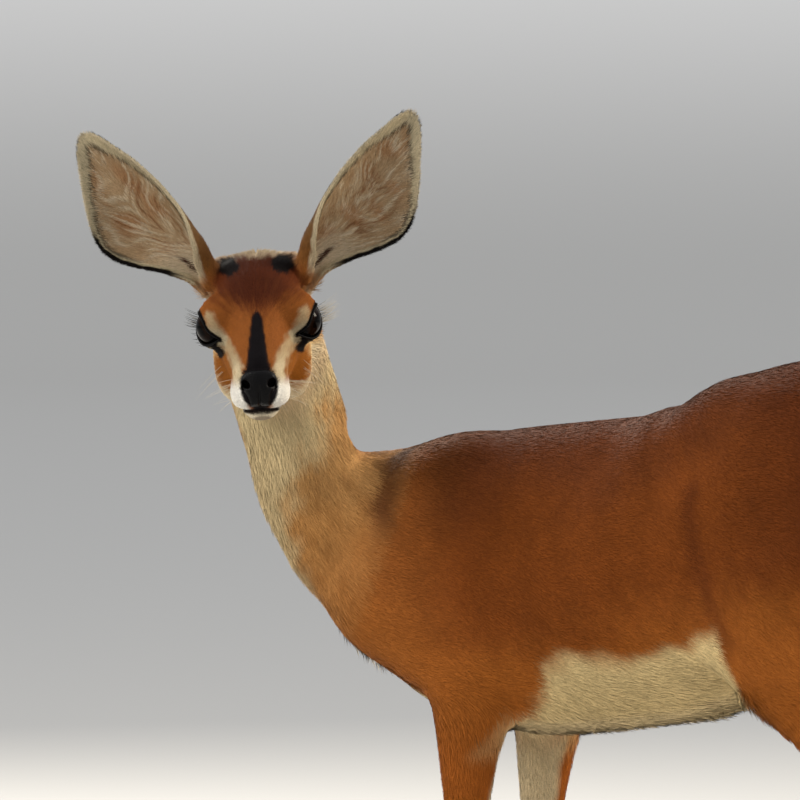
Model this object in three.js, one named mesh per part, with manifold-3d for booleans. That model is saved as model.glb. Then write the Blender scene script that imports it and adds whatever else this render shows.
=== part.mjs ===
// A life-size steenbok ewe, standing with her head turned back over her left shoulder.
// Millimetres, +Z up. Her body faces -X, her left side faces -Y, and she stands on z = 0.
import * as THREE from 'three';
import { mergeVertices } from 'three/addons/utils/BufferGeometryUtils.js';
import Module from 'manifold-3d';

const wasm = await Module();
wasm.setup();

// Driving dimensions
const GAP = 0.3; // between touching pieces
const WITHERS = 512; // height of the back over the shoulders
const LOIN = 541; // height of the back ahead of the hips
const CROUP = 576; // height of the back over the hips
const GIRTH_FLOOR = 303; // height of the breastbone
const TRUNK_FRONT = -258;
const TRUNK_REAR = 246;
const TRUNK_WIDTH = 150;
const FORE_X = -131; // where the forelegs stand
const HIND_X = 216; // where the hind fetlocks stand
const FORE_Y = 44; // half the distance between the forelegs
const HIND_Y = 50;
const HEAD_YAW = 38; // the gaze, in degrees from the animal's own left towards her tail
const HEAD_PITCH = 15; // how far the muzzle points down
const HEAD_ROLL = 4; // how far the left ear is carried above the right
const HEAD_AT = [-262, -103, 578]; // where the skull meets the neck
const EYE_RADIUS = 14.2;
const EAR_LENGTH = 136;
const TAIL_LENGTH = 62;

const COAT = { rufous: 0xa0582a, wet: 0x1c1614, eye: 0x120c08, horn: 0x2a2420 };
const FINISH = {
  rufous: new THREE.MeshStandardMaterial({ color: COAT.rufous, roughness: 0.9, metalness: 0 }),
  nose: new THREE.MeshStandardMaterial({ color: COAT.wet, roughness: 0.45, metalness: 0 }),
  eye: new THREE.MeshStandardMaterial({ color: COAT.eye, roughness: 0.08, metalness: 0 }),
  horn: new THREE.MeshStandardMaterial({ color: COAT.horn, roughness: 0.4, metalness: 0 }),
};

const vec = (x, y, z) => new THREE.Vector3(x, y, z);
const radians = THREE.MathUtils.degToRad;
const lerp = THREE.MathUtils.lerp;
const clamp = THREE.MathUtils.clamp;

// Distance fields, negative inside. Each takes a point and gives millimetres.
// A mass is an ellipsoid, leaned by some degrees about Y.
function mass(at, size, lean = 0) {
  const c = Math.cos(radians(lean));
  const s = Math.sin(radians(lean));
  return (p) => {
    const dx = p.x - at[0];
    const y = p.y - at[1];
    const dz = p.z - at[2];
    const x = c * dx - s * dz;
    const z = s * dx + c * dz;
    const near = Math.hypot(x / size[0], y / size[1], z / size[2]);
    const slope = Math.hypot(x / size[0] ** 2, y / size[1] ** 2, z / size[2] ** 2);
    return slope < 1e-9 ? -Math.min(...size) : (near * (near - 1)) / slope;
  };
}

// A muscle runs between two points with a radius at each, and may be narrower from side to side.
function muscle(from, to, radius, narrow = 1) {
  const dx = to[0] - from[0];
  const dy = to[1] - from[1];
  const dz = to[2] - from[2];
  const length2 = dx * dx + dy * dy + dz * dz;
  return (p) => {
    const px = p.x - from[0];
    const py = p.y - from[1];
    const pz = p.z - from[2];
    const t = clamp((px * dx + py * dy + pz * dz) / length2, 0, 1);
    const off = Math.hypot(px - t * dx, (py - t * dy) / narrow, pz - t * dz);
    return (off - lerp(radius[0], radius[1], t)) * narrow;
  };
}

// Both sides of a symmetric field, made for y > 0.
const paired = (field) => (p) => field(vec(p.x, Math.abs(p.y), p.z));

// The fields joined, with a fillet about as wide as soft.
const blended = (soft, fields) => (p) => {
  let d = 1e9;
  for (const field of fields) {
    const other = field(p);
    const h = Math.max(soft - Math.abs(d - other), 0) / soft;
    d = Math.min(d, other) - (h * h * soft) / 4;
  }
  return d;
};

// Trunk: rib cage, belly, loin and rump, with the muscles of shoulders and haunches
const halfWidth = TRUNK_WIDTH / 2;
const trunk = blended(32, [
  mass([-95, 0, (WITHERS + GIRTH_FLOOR) / 2], [138, halfWidth - 9, (WITHERS - GIRTH_FLOOR) / 2 - 1]),
  mass([4, 0, 413], [133, halfWidth - 1, 97]),
  muscle([-160, 0, WITHERS - 45], [62, 0, LOIN - 50], [39, 48]),
  mass([144, 0, CROUP - 90], [100, halfWidth - 9, 86]),
  mass([TRUNK_REAR - 50, 0, 434], [45, 44, 92]),
  mass([TRUNK_FRONT + 62, 0, 398], [50, 41, 74], -28),
  muscle([-190, -6, 430], [-233, -32, 434], [50, 49], 0.95),
  muscle([-165, 0, 466], [-216, -20, 462], [38, 35]),
  paired(muscle([-152, 34, 474], [-200, 44, 398], [25, 31], 0.8)),
  paired(muscle([-198, 44, 398], [-128, 45, 344], [30, 28], 0.8)),
  paired(mass([160, 50, 448], [80, 32, 98], 14)),
  paired(muscle([160, 55, 415], [163, 59, 362], [44, 28], 0.72)),
  paired(muscle([TRUNK_REAR - 38, 30, 496], [198, 48, 396], [34, 30], 0.8)),
  paired(muscle([66, 58, 394], [124, 58, 362], [12, 18], 0.6)),
  paired(mass([113, 34, CROUP - 51], [56, 27, 29])),
  paired(muscle([20, 40, 446], [116, 46, 466], [30, 38], 0.8)),
  paired(muscle([38, 18, LOIN - 47], [84, 27, CROUP - 58], [36, 22.5])),
]);

// Neck: a bent column of ellipses, deep at its base
const NECK = [
  { at: [-196, -6, 430], deep: 40, wide: 30 },
  { at: [-218, -18, 438], deep: 50, wide: 38 },
  { at: [-240, -38, 450], deep: 50, wide: 42 },
  { at: [-254, -56, 474], deep: 42.5, wide: 39.5 },
  { at: [-260, -69, 506], deep: 38, wide: 36.5 },
  { at: [-264, -82, 538], deep: 36, wide: 35.5 },
  { at: [-265, -95, 566], deep: 35, wide: 35 },
  { at: [-259, -109, 590], deep: 31, wide: 30 },
  { at: [-250, -121, 606], deep: 20, wide: 21 },
];

// The head's own frame: x towards the muzzle, y to her left, z up, from where the skull meets the neck
const headFrame = new THREE.Matrix4()
  .makeRotationZ(radians(HEAD_YAW - 90))
  .multiply(new THREE.Matrix4().makeRotationY(radians(HEAD_PITCH)))
  .multiply(new THREE.Matrix4().makeRotationX(radians(HEAD_ROLL)))
  .setPosition(...HEAD_AT);

const EYE_AT = [64, 28.4, 30];
const head = blended(9, [
  mass([18, 0, 32], [36, 33, 31]),
  mass([48, 0, 35], [34, 30, 28]),
  muscle([56, 0, 33], [133, 0, 17], [24.5, 13.5], 0.95),
  paired(muscle([64, 12, 14], [128, 8, 7], [20, 12.5], 0.8)),
  mass([130, 0, 6], [22, 16.8, 17]),
  muscle([24, 0, -2], [126, 0, -6], [25, 9], 0.98),
  paired(mass([38, 15, 1], [32, 19, 29])),
  paired(mass([63, 24.5, 33], [22, 15.5, 19])),
  paired(mass([132, 9.2, -1], [17, 9.8, 8.5])),
  mass([126, 0, -12], [14, 9.5, 7]),
  paired(mass([8, 23, 46], [20, 16, 16])),
  mass([20, 0, 51], [24, 26, 15]),
  mass([36, 0, 44], [28, 27, 21]),
  paired(mass([34, 19, -16], [24, 12, 16])),
  muscle([2, 21, 2], [-14, 34, -60], [20, 19], 0.96), // skin bunched by the turn of the head
]);

// A closed mesh from rings of equally many points, with a pole or a flat fan at each end
function loft(rings) {
  const sides = rings[0].length;
  const points = rings.flat();
  const faces = [];
  for (let i = 0; i + 1 < rings.length; i++) {
    for (let j = 0; j < sides; j++) {
      const a = i * sides + j;
      const b = i * sides + ((j + 1) % sides);
      const [c, d] = [b + sides, a + sides];
      if (points[a].distanceTo(points[c]) < points[b].distanceTo(points[d])) faces.push(a, b, c, a, c, d);
      else faces.push(a, b, d, b, c, d);
    }
  }
  for (const [ring, start, flip] of [
    [rings[0], 0, true],
    [rings.at(-1), (rings.length - 1) * sides, false],
  ]) {
    const middle = ring.reduce((sum, p) => sum.add(p), vec(0, 0, 0)).divideScalar(sides);
    points.push(middle);
    for (let j = 0; j < sides; j++) {
      const a = start + j;
      const b = start + ((j + 1) % sides);
      if (flip) faces.push(b, a, points.length - 1);
      else faces.push(a, b, points.length - 1);
    }
  }
  const geometry = new THREE.BufferGeometry().setFromPoints(points);
  geometry.setIndex(faces);
  return geometry;
}

// How far the field's skin lies from a point inside it
function reach(field, from, way) {
  const at = (t) => field(from.clone().addScaledVector(way, t));
  let inside = 0;
  let outside = 2;
  while (at(outside) < 0 && outside < 400) {
    inside = outside;
    outside += 2;
  }
  for (let i = 0; i < 14; i++) {
    const middle = (inside + outside) / 2;
    if (at(middle) < 0) inside = middle;
    else outside = middle;
  }
  return inside;
}

// Rings laid on a field's skin, square to an axis, with both ends rounded off by rays that lean over
function wrap(field, axis, count, sides, ends = 5) {
  const curve = new THREE.CatmullRomCurve3(axis.map((p) => vec(...p)));
  const stations = [];
  for (let i = 1; i <= ends; i++) stations.push({ t: 0, lean: -90 * (1 - i / (ends + 1)) });
  for (let i = 0; i < count; i++) stations.push({ t: i / (count - 1), lean: 0 });
  for (let i = ends; i >= 1; i--) stations.push({ t: 1, lean: 90 * (1 - i / (ends + 1)) });
  const rings = stations.map(({ t, lean }) => {
    const from = curve.getPointAt(t);
    const along = curve.getTangentAt(t);
    const side = vec(0, 1, 0).addScaledVector(along, -along.y).normalize();
    const up = along.clone().cross(side);
    return Array.from({ length: sides }, (_, j) => {
      const a = (2 * Math.PI * (j + 0.5)) / sides;
      const way = side.clone().multiplyScalar(Math.cos(a)).addScaledVector(up, Math.sin(a));
      way.multiplyScalar(Math.cos(radians(lean))).addScaledVector(along, Math.sin(radians(lean)));
      return from.clone().addScaledVector(way, reach(field, from, way));
    });
  });
  return loft(rings);
}

// Elliptic rings along a bent limb. A station has its place, its radius fore and aft and its radius to the side.
function tube(stations, steps, sides, from = 0, to = 1) {
  const curve = new THREE.CatmullRomCurve3(stations.map((s) => vec(...s.at)), false, 'centripetal');
  const deep = new THREE.SplineCurve(stations.map((s, i) => new THREE.Vector2(i, s.deep)));
  const wide = new THREE.SplineCurve(stations.map((s, i) => new THREE.Vector2(i, s.wide)));
  const rings = [];
  for (let i = 0; i <= steps; i++) {
    const t = lerp(from, to, i / steps);
    const middle = curve.getPoint(t);
    const along = curve.getTangent(t);
    const side = vec(0, 1, 0).addScaledVector(along, -along.y).normalize();
    const fore = side.clone().cross(along);
    rings.push(
      Array.from({ length: sides }, (_, j) => {
        const a = (2 * Math.PI * j) / sides;
        return middle
          .clone()
          .addScaledVector(fore, deep.getPoint(t).y * Math.cos(a))
          .addScaledVector(side, wide.getPoint(t).y * Math.sin(a));
      })
    );
  }
  return loft(rings);
}

// Solids, for joining and cutting
function solid(geometry) {
  const bare = geometry.clone();
  for (const name of Object.keys(bare.attributes)) if (name !== 'position') bare.deleteAttribute(name);
  const merged = mergeVertices(bare, 1e-4);
  const made = new wasm.Manifold(
    new wasm.Mesh({
      numProp: 3,
      vertProperties: new Float32Array(merged.attributes.position.array),
      triVerts: new Uint32Array(merged.index.array),
    })
  );
  if (made.volume() > 0) return made;
  const turned = new Uint32Array(merged.index.array);
  for (let i = 0; i < turned.length; i += 3) [turned[i + 1], turned[i + 2]] = [turned[i + 2], turned[i + 1]];
  return new wasm.Manifold(
    new wasm.Mesh({
      numProp: 3,
      vertProperties: new Float32Array(merged.attributes.position.array),
      triVerts: turned,
    })
  );
}

const largest = (made) => made.decompose().sort((a, b) => b.volume() - a.volume())[0];

function geometryOf(made) {
  const { vertProperties, triVerts, numProp } = largest(made).getMesh();
  const geometry = new THREE.BufferGeometry();
  const points = [];
  for (let i = 0; i < vertProperties.length; i += numProp) {
    points.push(vec(vertProperties[i], vertProperties[i + 1], vertProperties[i + 2]));
  }
  geometry.setFromPoints(points);
  geometry.setIndex([...triVerts]);
  geometry.computeVertexNormals();
  return geometry;
}

// A block whose near face is a cutting plane
function ahead(at, facing, size, back = 0) {
  const way = vec(...facing).normalize();
  const block = new THREE.BoxGeometry(size, size, size);
  block.translate(0, 0, size / 2 - back);
  block.applyQuaternion(new THREE.Quaternion().setFromUnitVectors(vec(0, 0, 1), way));
  block.translate(...at);
  return solid(block);
}

// Legs: stations from inside the trunk down to the coronet, on the left (-Y) side
const foreleg = [
  { at: [-130, FORE_Y - 4, 356], deep: 20, wide: 15 },
  { at: [-127, FORE_Y, 322], deep: 27, wide: 21 },
  { at: [-129, FORE_Y, 292], deep: 23, wide: 17.5 },
  { at: [-131, FORE_Y - 1, 258], deep: 17.5, wide: 14.2 },
  { at: [-133, FORE_Y - 2, 224], deep: 13.2, wide: 11.8 },
  { at: [-134, FORE_Y - 2, 203], deep: 12.8, wide: 12 },
  { at: [-135, FORE_Y - 3, 188], deep: 13.4, wide: 12.6 },
  { at: [-133, FORE_Y - 3, 170], deep: 10.6, wide: 10.2 },
  { at: [FORE_X, FORE_Y - 3, 142], deep: 8.7, wide: 8.2 },
  { at: [FORE_X, FORE_Y - 4, 102], deep: 8.3, wide: 8 },
  { at: [FORE_X - 1, FORE_Y - 4, 80], deep: 10, wide: 9.2 },
  { at: [FORE_X - 3, FORE_Y - 4, 66], deep: 11.4, wide: 10.6 },
  { at: [FORE_X - 11, FORE_Y - 4, 48], deep: 8.8, wide: 9.4 },
  { at: [FORE_X - 17, FORE_Y - 4, 34], deep: 10, wide: 10.8 },
  { at: [FORE_X - 20, FORE_Y - 4, 24], deep: 10.6, wide: 10.8 },
  { at: [FORE_X - 22, FORE_Y - 4, 15], deep: 8.5, wide: 8.6 },
];
const hindleg = [
  { at: [166, HIND_Y + 2, 400], deep: 40, wide: 18 },
  { at: [170, HIND_Y + 7, 358], deep: 43, wide: 25 },
  { at: [186, HIND_Y + 7, 322], deep: 26, wide: 22 },
  { at: [203, HIND_Y + 5, 292], deep: 19, wide: 17 },
  { at: [218, HIND_Y + 2, 262], deep: 15.5, wide: 13.6 },
  { at: [231, HIND_Y, 240], deep: 14.4, wide: 11.6 },
  { at: [238, HIND_Y - 1, 222], deep: 15.6, wide: 12 },
  { at: [236, HIND_Y - 1, 203], deep: 12.4, wide: 10.8 },
  { at: [231, HIND_Y - 2, 182], deep: 9.8, wide: 9 },
  { at: [HIND_X + 9, HIND_Y - 3, 140], deep: 8.6, wide: 8 },
  { at: [HIND_X + 2, HIND_Y - 4, 98], deep: 8.6, wide: 8.1 },
  { at: [HIND_X, HIND_Y - 4, 80], deep: 10.2, wide: 9.4 },
  { at: [HIND_X - 3, HIND_Y - 4, 66], deep: 11.8, wide: 10.8 },
  { at: [HIND_X - 11, HIND_Y - 4, 48], deep: 9, wide: 9.6 },
  { at: [HIND_X - 17, HIND_Y - 4, 34], deep: 10, wide: 10.8 },
  { at: [HIND_X - 20, HIND_Y - 4, 24], deep: 10.6, wide: 10.8 },
  { at: [HIND_X - 22, HIND_Y - 4, 15], deep: 8.5, wide: 8.6 },
];
// Where each leg is parted, as places along its stations
const FORE_CUTS = { cannon: 7, pastern: 11.6 };
const HIND_CUTS = { cannon: 8, pastern: 12.6 };

const onSide = (stations, side) => stations.map((s) => ({ ...s, at: [s.at[0], s.at[1] * side, s.at[2]] }));

const steer = (stations, place) => place / (stations.length - 1);
// The same limb made fatter, to leave a gap around its end
const grown = (stations) =>
  stations.map((s, i) => ({
    at: i < stations.length - 1 ? s.at : [s.at[0], s.at[1], s.at[2] - GAP],
    deep: s.deep + GAP,
    wide: s.wide + GAP,
  }));

// A hoof's claw: flat sole, pointed toe, straight inner wall and rounded outer wall
const CLAW = { length: 40, width: 13.4, front: 27, heel: 17, between: 1.4, slope: 0.5, ahead: 25 };
function claw(crown, side, place) {
  const sides = 12;
  const levels = 2;
  const toe = crown[0] - CLAW.ahead;
  const outward = side * place;
  const inner = crown[1] + (outward * CLAW.between) / 2;
  const rings = [];
  for (let i = 0; i <= levels; i++) {
    const rise = i / levels;
    const ring = [];
    for (let j = 0; j < sides; j++) {
      const a = (2 * Math.PI * j) / sides;
      const along = (1 - Math.cos(a)) / 2;
      const z = rise * lerp(CLAW.front, CLAW.heel, along);
      const broad = Math.sqrt(1 - (1 - along) ** 2) * Math.sqrt(Math.min(1, (1 - along) * 5));
      const across = a < Math.PI ? CLAW.width * broad * (1 - 0.1 * rise) : 0.7 * (1 - broad);
      ring.push(vec(toe + lerp(z * CLAW.slope, CLAW.length - z * 0.12, along), inner + outward * across, z));
    }
    rings.push(ring);
  }
  return loft(rings);
}

// Ear: a cupped leaf, rolled into a funnel at its root
// Its own frame: x across towards the outer edge, y out of the open side, z along the leaf.
const EAR_SHARE = [0, 0.1, 0.2, 0.34, 0.46, 0.58, 0.73, 0.85, 0.94, 0.985, 1];
const EAR_HALF = [11, 13, 20, 28.5, 32, 31, 24.5, 17, 11, 6.5, 3];
const EAR_ROLL = [150, 124, 96, 75, 66, 60, 55, 52, 48, 45, 45];
const EAR_THICK = [5, 4.6, 4, 3.4, 3.2, 3, 2.8, 2.6, 2.2, 1.8, 1.5];
const EAR_SHIFT = [0, -0.5, 1, 5.5, 7.5, 7.2, 4.6, 2.6, 1, 0, 0]; // towards the outer edge
const EAR_TWIST = [46, 42, 30, 12, 2, 0, 0, 0, 0, 0, 0]; // turns the funnel's mouth outward
function pick(table, share) {
  const curve = new THREE.SplineCurve(EAR_SHARE.map((s, i) => new THREE.Vector2(s, table[i])));
  let low = 0;
  let high = 1;
  for (let i = 0; i < 24; i++) {
    const middle = (low + high) / 2;
    if (curve.getPoint(middle).x < share) low = middle;
    else high = middle;
  }
  return curve.getPoint(low).y;
}
function earLeaf(levels = 18, across = 10) {
  const rings = [];
  for (let i = 0; i <= levels; i++) {
    const share = Math.sin((Math.PI / 2) * (i / levels)) * 0.6 + (i / levels) * 0.4;
    const half = pick(EAR_HALF, share);
    const roll = radians(pick(EAR_ROLL, share));
    const thick = pick(EAR_THICK, share);
    const round = half / Math.sin(Math.min(roll, Math.PI / 2));
    const twist = radians(pick(EAR_TWIST, share));
    const arc = (radius, a) => {
      const turned = a - twist;
      return vec(pick(EAR_SHIFT, share) + radius * Math.sin(turned), round - radius * Math.cos(turned), share * EAR_LENGTH);
    };
    const outer = [];
    const inner = [];
    for (let j = 0; j <= across; j++) {
      const a = roll * (1 - (2 * j) / across);
      const rim = 1 - 0.45 * Math.abs(1 - (2 * j) / across) ** 4;
      outer.push(arc(round, a));
      if (j > 0 && j < across) inner.unshift(arc(round - thick * rim, a));
    }
    rings.push([...outer, ...inner]);
  }
  return loft(rings);
}
const EAR_AT = [12, 28, 45];
const EAR_TIP = [-21, 113, 147];
function ear(side) {
  const root = vec(EAR_AT[0], side * EAR_AT[1], EAR_AT[2]);
  const along = vec(EAR_TIP[0], side * EAR_TIP[1], EAR_TIP[2]).sub(root).normalize();
  const open = vec(1, side * 0.18, 0.06);
  open.addScaledVector(along, -open.dot(along)).normalize();
  const across = along.clone().cross(open).multiplyScalar(side);
  const turn = new THREE.Matrix4().makeBasis(across, open, along).setPosition(root);
  return earLeaf().applyMatrix4(turn).applyMatrix4(headFrame);
}

// Eyes and lids. The opening runs down and forward to the tear duct.
const EYE_TILT = 24;
const almond = () => {
  const outline = new THREE.Shape();
  const long = 15.5;
  outline.moveTo(-long, 0);
  outline.bezierCurveTo(-0.7 * long, 11, 0.2 * long, 14, 0.72 * long, 6);
  outline.quadraticCurveTo(0.95 * long, 2, 1.12 * long, -3);
  outline.quadraticCurveTo(0.72 * long, -4, 0.5 * long, -6.5);
  outline.bezierCurveTo(0.1 * long, -10.5, -0.65 * long, -9, -long, 0);
  return outline;
};
function eyeFrame(side) {
  const look = vec(0.5, side, 0.08).normalize();
  const forward = vec(1, 0, -Math.tan(radians(EYE_TILT)));
  forward.addScaledVector(look, -forward.dot(look)).normalize();
  const up = look.clone().cross(forward).multiplyScalar(side);
  return new THREE.Matrix4().makeBasis(forward, up, look).setPosition(EYE_AT[0], side * EYE_AT[1], EYE_AT[2]);
}
const eyeball = (grow = 0) => new THREE.SphereGeometry(EYE_RADIUS + grow, 16, 10);
function eyePieces(side) {
  const place = (g) => solid(g.applyMatrix4(eyeFrame(side)).applyMatrix4(headFrame));
  const opening = new THREE.ExtrudeGeometry(almond(), { depth: 40, bevelEnabled: false, curveSegments: 7 });
  return { ball: place(eyeball()), socket: place(eyeball(GAP)), lids: place(eyeball(2)), opening: place(opening) };
}

// Joining
const HEAD_AXIS = [[4, 0, 20], [40, 0, 19], [90, 0, 11], [133, 0, 6]];
const TRUNK_AXIS = [[TRUNK_FRONT + 56, 0, 404], [-120, 0, 420], [20, 0, 436], [140, 0, 462], [TRUNK_REAR - 46, 0, 474]];
const inHead = (geometry) => solid(geometry.applyMatrix4(headFrame));
const headSkin = (depth) => inHead(wrap((p) => head(p) + depth, HEAD_AXIS, 23, 28, 5));
const trunkSkin = (depth) => solid(wrap((p) => trunk(p) + depth, TRUNK_AXIS, 23, 26));
const eyes = { left: eyePieces(1), right: eyePieces(-1) };
let skull = headSkin(0);
for (const eye of Object.values(eyes)) {
  skull = skull.add(eye.lids).subtract(eye.opening).subtract(eye.socket);
}

// The mouth is a narrow slot that follows the lips
const LIP = { slot: 1.2, deep: 2.6, corner: 100, at: -7, sag: -9 };
const lips = new THREE.Shape();
lips.moveTo(LIP.corner, LIP.at + 3);
lips.quadraticCurveTo(126, LIP.sag, 165, LIP.at);
lips.lineTo(165, LIP.at + LIP.slot);
lips.quadraticCurveTo(126, LIP.sag + LIP.slot, LIP.corner, LIP.at + 3.4);
const mouth = new THREE.ExtrudeGeometry(lips, { depth: 60, bevelEnabled: false, curveSegments: 6 });
mouth.translate(0, 0, -30);
mouth.rotateX(Math.PI / 2);
skull = skull.subtract(inHead(mouth).subtract(headSkin(LIP.deep)));

// The nose pad, with a nostril at each side
const NOSE = { wide: 12.8, high: 23.5, at: [138, 0, 5.5], lean: 20, proud: 0.9 };
const inNose = (geometry) => inHead(geometry.rotateY(radians(-NOSE.lean)).translate(...NOSE.at));
function noseBlock(grow) {
  const half = NOSE.wide + grow;
  const top = NOSE.high / 2 + grow;
  const right = [
    [half * 0.6, -top],
    [half * 0.7, -top * 0.55],
    [half * 0.95, -top * 0.05],
    [half, top * 0.45],
    [half * 0.66, top * 0.93],
  ];
  const left = right.map(([y, z]) => [-y, z]).reverse();
  const outline = new THREE.Shape([...right, [0, top], ...left].map(([y, z]) => new THREE.Vector2(y, z)));
  const block = new THREE.ExtrudeGeometry(outline, { depth: 40, bevelEnabled: false });
  return inNose(block.rotateX(Math.PI / 2).rotateZ(Math.PI / 2).translate(-grow, 0, 0));
}
const nostril = (side) => {
  const hole = new THREE.SphereGeometry(1, 10, 6).scale(6, 2.8, 4);
  hole.rotateX(radians(side * 30)).rotateZ(radians(side * 30));
  return inNose(hole.translate(10.5, side * 9.4, 3.4));
};
let nose = headSkin(-NOSE.proud).intersect(noseBlock(0));
for (const side of [1, -1]) nose = nose.subtract(nostril(side));
skull = skull.subtract(noseBlock(GAP));

const SIDES = { left: -1, right: 1 };
let whole = trunkSkin(0).add(solid(tube(NECK, 16, 20))).add(skull);
for (const side of Object.values(SIDES)) {
  whole = whole.add(solid(tube(onSide(foreleg, side), 12, 12, 0, steer(foreleg, FORE_CUTS.cannon))));
  whole = whole.add(solid(tube(onSide(hindleg, side), 14, 12, 0, steer(hindleg, HIND_CUTS.cannon))));
}
for (const eye of Object.values(eyes)) whole = whole.subtract(eye.socket);

// Parting with thin cuts
const animal = new THREE.Group();
function add(name, made, finish) {
  const geometry = geometryOf(made.isBufferGeometry ? solid(made) : made);
  const mesh = new THREE.Mesh(geometry, FINISH[finish]);
  mesh.name = name;
  animal.add(mesh);
}
// Takes off what lies ahead of a plane, and leaves a gap behind it
function takeOff(at, facing, size) {
  const piece = whole.intersect(ahead(at, facing, size));
  whole = whole.subtract(ahead(at, facing, size, GAP));
  return piece;
}
const throat = vec(2, 0, 10).applyMatrix4(headFrame).toArray();
const throatWay = vec(0.8, 0, 0.6).transformDirection(headFrame).toArray();
add('head', takeOff(throat, throatWay, 240), 'rufous');
add('nose', nose, 'nose');
add('neck_upper', takeOff([-257, -68, 512], [-0.12, -0.4, 0.9], 160), 'rufous');
add('neck_lower', takeOff([-226, -28, 446], [-0.62, -0.52, 0.58], 200), 'rufous');

// Each leg leaves the trunk along an outline seen from the side
const SHOULDER = {
  inner: 20,
  outline: [[-100, 150], [-98, 320], [-104, 420], [-126, 492], [-162, 494], [-226, 436], [-228, 384], [-178, 334], [-168, 280], [-168, 150]],
};
const HAUNCH = {
  inner: 22,
  outline: [[290, 150], [262, 330], [262, 450], [236, 520], [160, 540], [100, 500], [96, 410], [112, 350], [132, 296], [150, 150]],
};
function legBlock({ inner, outline }, side) {
  const curve = new THREE.SplineCurve(outline.map(([x, z]) => new THREE.Vector2(x, z)));
  const block = new THREE.ExtrudeGeometry(new THREE.Shape(curve.getPoints(30)), { depth: 300, bevelEnabled: false });
  block.rotateX(Math.PI / 2).translate(0, -inner, 0);
  return solid(side > 0 ? block.scale(1, -1, 1) : block);
}
// The block moved about by the gap, so that what it cuts leaves room all round
function spread(block, side) {
  let wide = block;
  for (const [x, z] of [[1, 0], [-1, 0], [0, 1], [0, -1]]) wide = wide.add(block.translate([x * GAP, -side * GAP, z * GAP]));
  return wide;
}
const LIMB_TOP = 297; // the limbs part from the trunk's muscles just under the belly
for (const [name, side] of Object.entries(SIDES)) {
  for (const [limb, cut, parts] of [
    ['fore', SHOULDER, ['shoulder', 'forearm']],
    ['hind', HAUNCH, ['haunch', 'gaskin']],
  ]) {
    const leg = whole.intersect(legBlock(cut, side));
    whole = whole.subtract(spread(legBlock(cut, side), side));
    const middle = [0, side * 60, LIMB_TOP];
    add(parts[0] + '_' + name, leg.subtract(ahead(middle, [0, 0, -1], 700, GAP)), 'rufous');
    add(parts[1] + '_' + name, leg.intersect(ahead(middle, [0, 0, -1], 700)), 'rufous');
    const stations = onSide(limb === 'fore' ? foreleg : hindleg, side);
    const cuts = limb === 'fore' ? FORE_CUTS : HIND_CUTS;
    const at = (place) => steer(stations, place);
    add(limb + '_cannon_' + name, tube(stations, 9, 12, at(cuts.cannon) + 0.0016, at(cuts.pastern)), 'rufous');
    add(limb + '_pastern_' + name, tube(stations, 8, 12, at(cuts.pastern) + 0.0016, 1), 'rufous');
    const around = solid(tube(grown(stations), 8, 12, at(cuts.pastern), 1));
    for (const [place, way] of [['outer', 1], ['inner', -1]]) {
      add([limb, 'claw', place, name].join('_'), solid(claw(stations.at(-1).at, side, way)).subtract(around), 'horn');
    }
  }
}
add('chest', takeOff([-52, 0, 420], [-1, 0, 0], 400), 'rufous');
add('rump', takeOff([92, 0, 440], [1, 0, 0], 400), 'rufous');
add('barrel', whole, 'rufous');

const TAIL = [
  { at: [TRUNK_REAR - 34, 0, 522], deep: 9, wide: 10 },
  { at: [TRUNK_REAR - 10, 0, 527], deep: 9, wide: 11 },
  { at: [TRUNK_REAR + 7, 0, 518], deep: 8.5, wide: 12 },
  { at: [TRUNK_REAR + 15, 0, 500], deep: 7.5, wide: 12 },
  { at: [TRUNK_REAR + 19, 0, 522 - TAIL_LENGTH * 0.75], deep: 5.5, wide: 9 },
  { at: [TRUNK_REAR + 20, 0, 522 - TAIL_LENGTH], deep: 2, wide: 3 },
];
add('tail', solid(tube(TAIL, 12, 14)).subtract(trunkSkin(-GAP)), 'rufous');

const aroundHead = headSkin(-GAP);
for (const [name, side] of [['left', 1], ['right', -1]]) {
  add('eye_' + name, eyes[name].ball, 'eye');
  add('ear_' + name, solid(ear(side)).subtract(aroundHead), 'rufous');
}

// The frame's origin is on the floor, under the middle of the animal
const room = new THREE.Box3().setFromObject(animal).getCenter(vec(0, 0, 0));
animal.position.set(-room.x, -room.y, 0);

export default animal;
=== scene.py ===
# Looks of a life-size museum model of a steenbok ewe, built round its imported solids.
# Shapes are worked out in millimetres, with the floor at z = 0, and moved to the frame at the end.
import itertools
import math

import bpy
import numpy as np
from mathutils import Matrix, Vector


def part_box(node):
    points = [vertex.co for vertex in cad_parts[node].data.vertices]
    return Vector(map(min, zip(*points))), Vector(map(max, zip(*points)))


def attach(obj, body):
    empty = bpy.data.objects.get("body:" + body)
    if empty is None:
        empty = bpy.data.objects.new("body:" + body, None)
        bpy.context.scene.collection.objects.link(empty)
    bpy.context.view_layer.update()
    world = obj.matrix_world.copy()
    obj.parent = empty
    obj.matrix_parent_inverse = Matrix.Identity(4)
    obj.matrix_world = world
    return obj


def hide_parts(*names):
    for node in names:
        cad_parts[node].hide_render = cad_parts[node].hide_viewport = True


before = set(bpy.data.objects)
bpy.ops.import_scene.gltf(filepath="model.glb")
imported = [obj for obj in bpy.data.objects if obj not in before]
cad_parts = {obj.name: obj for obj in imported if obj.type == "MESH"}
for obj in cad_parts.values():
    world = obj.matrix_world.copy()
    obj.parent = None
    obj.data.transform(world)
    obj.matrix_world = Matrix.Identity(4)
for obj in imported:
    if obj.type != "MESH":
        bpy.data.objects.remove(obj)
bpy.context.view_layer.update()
MM = 0.001
SEED = 20

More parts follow.
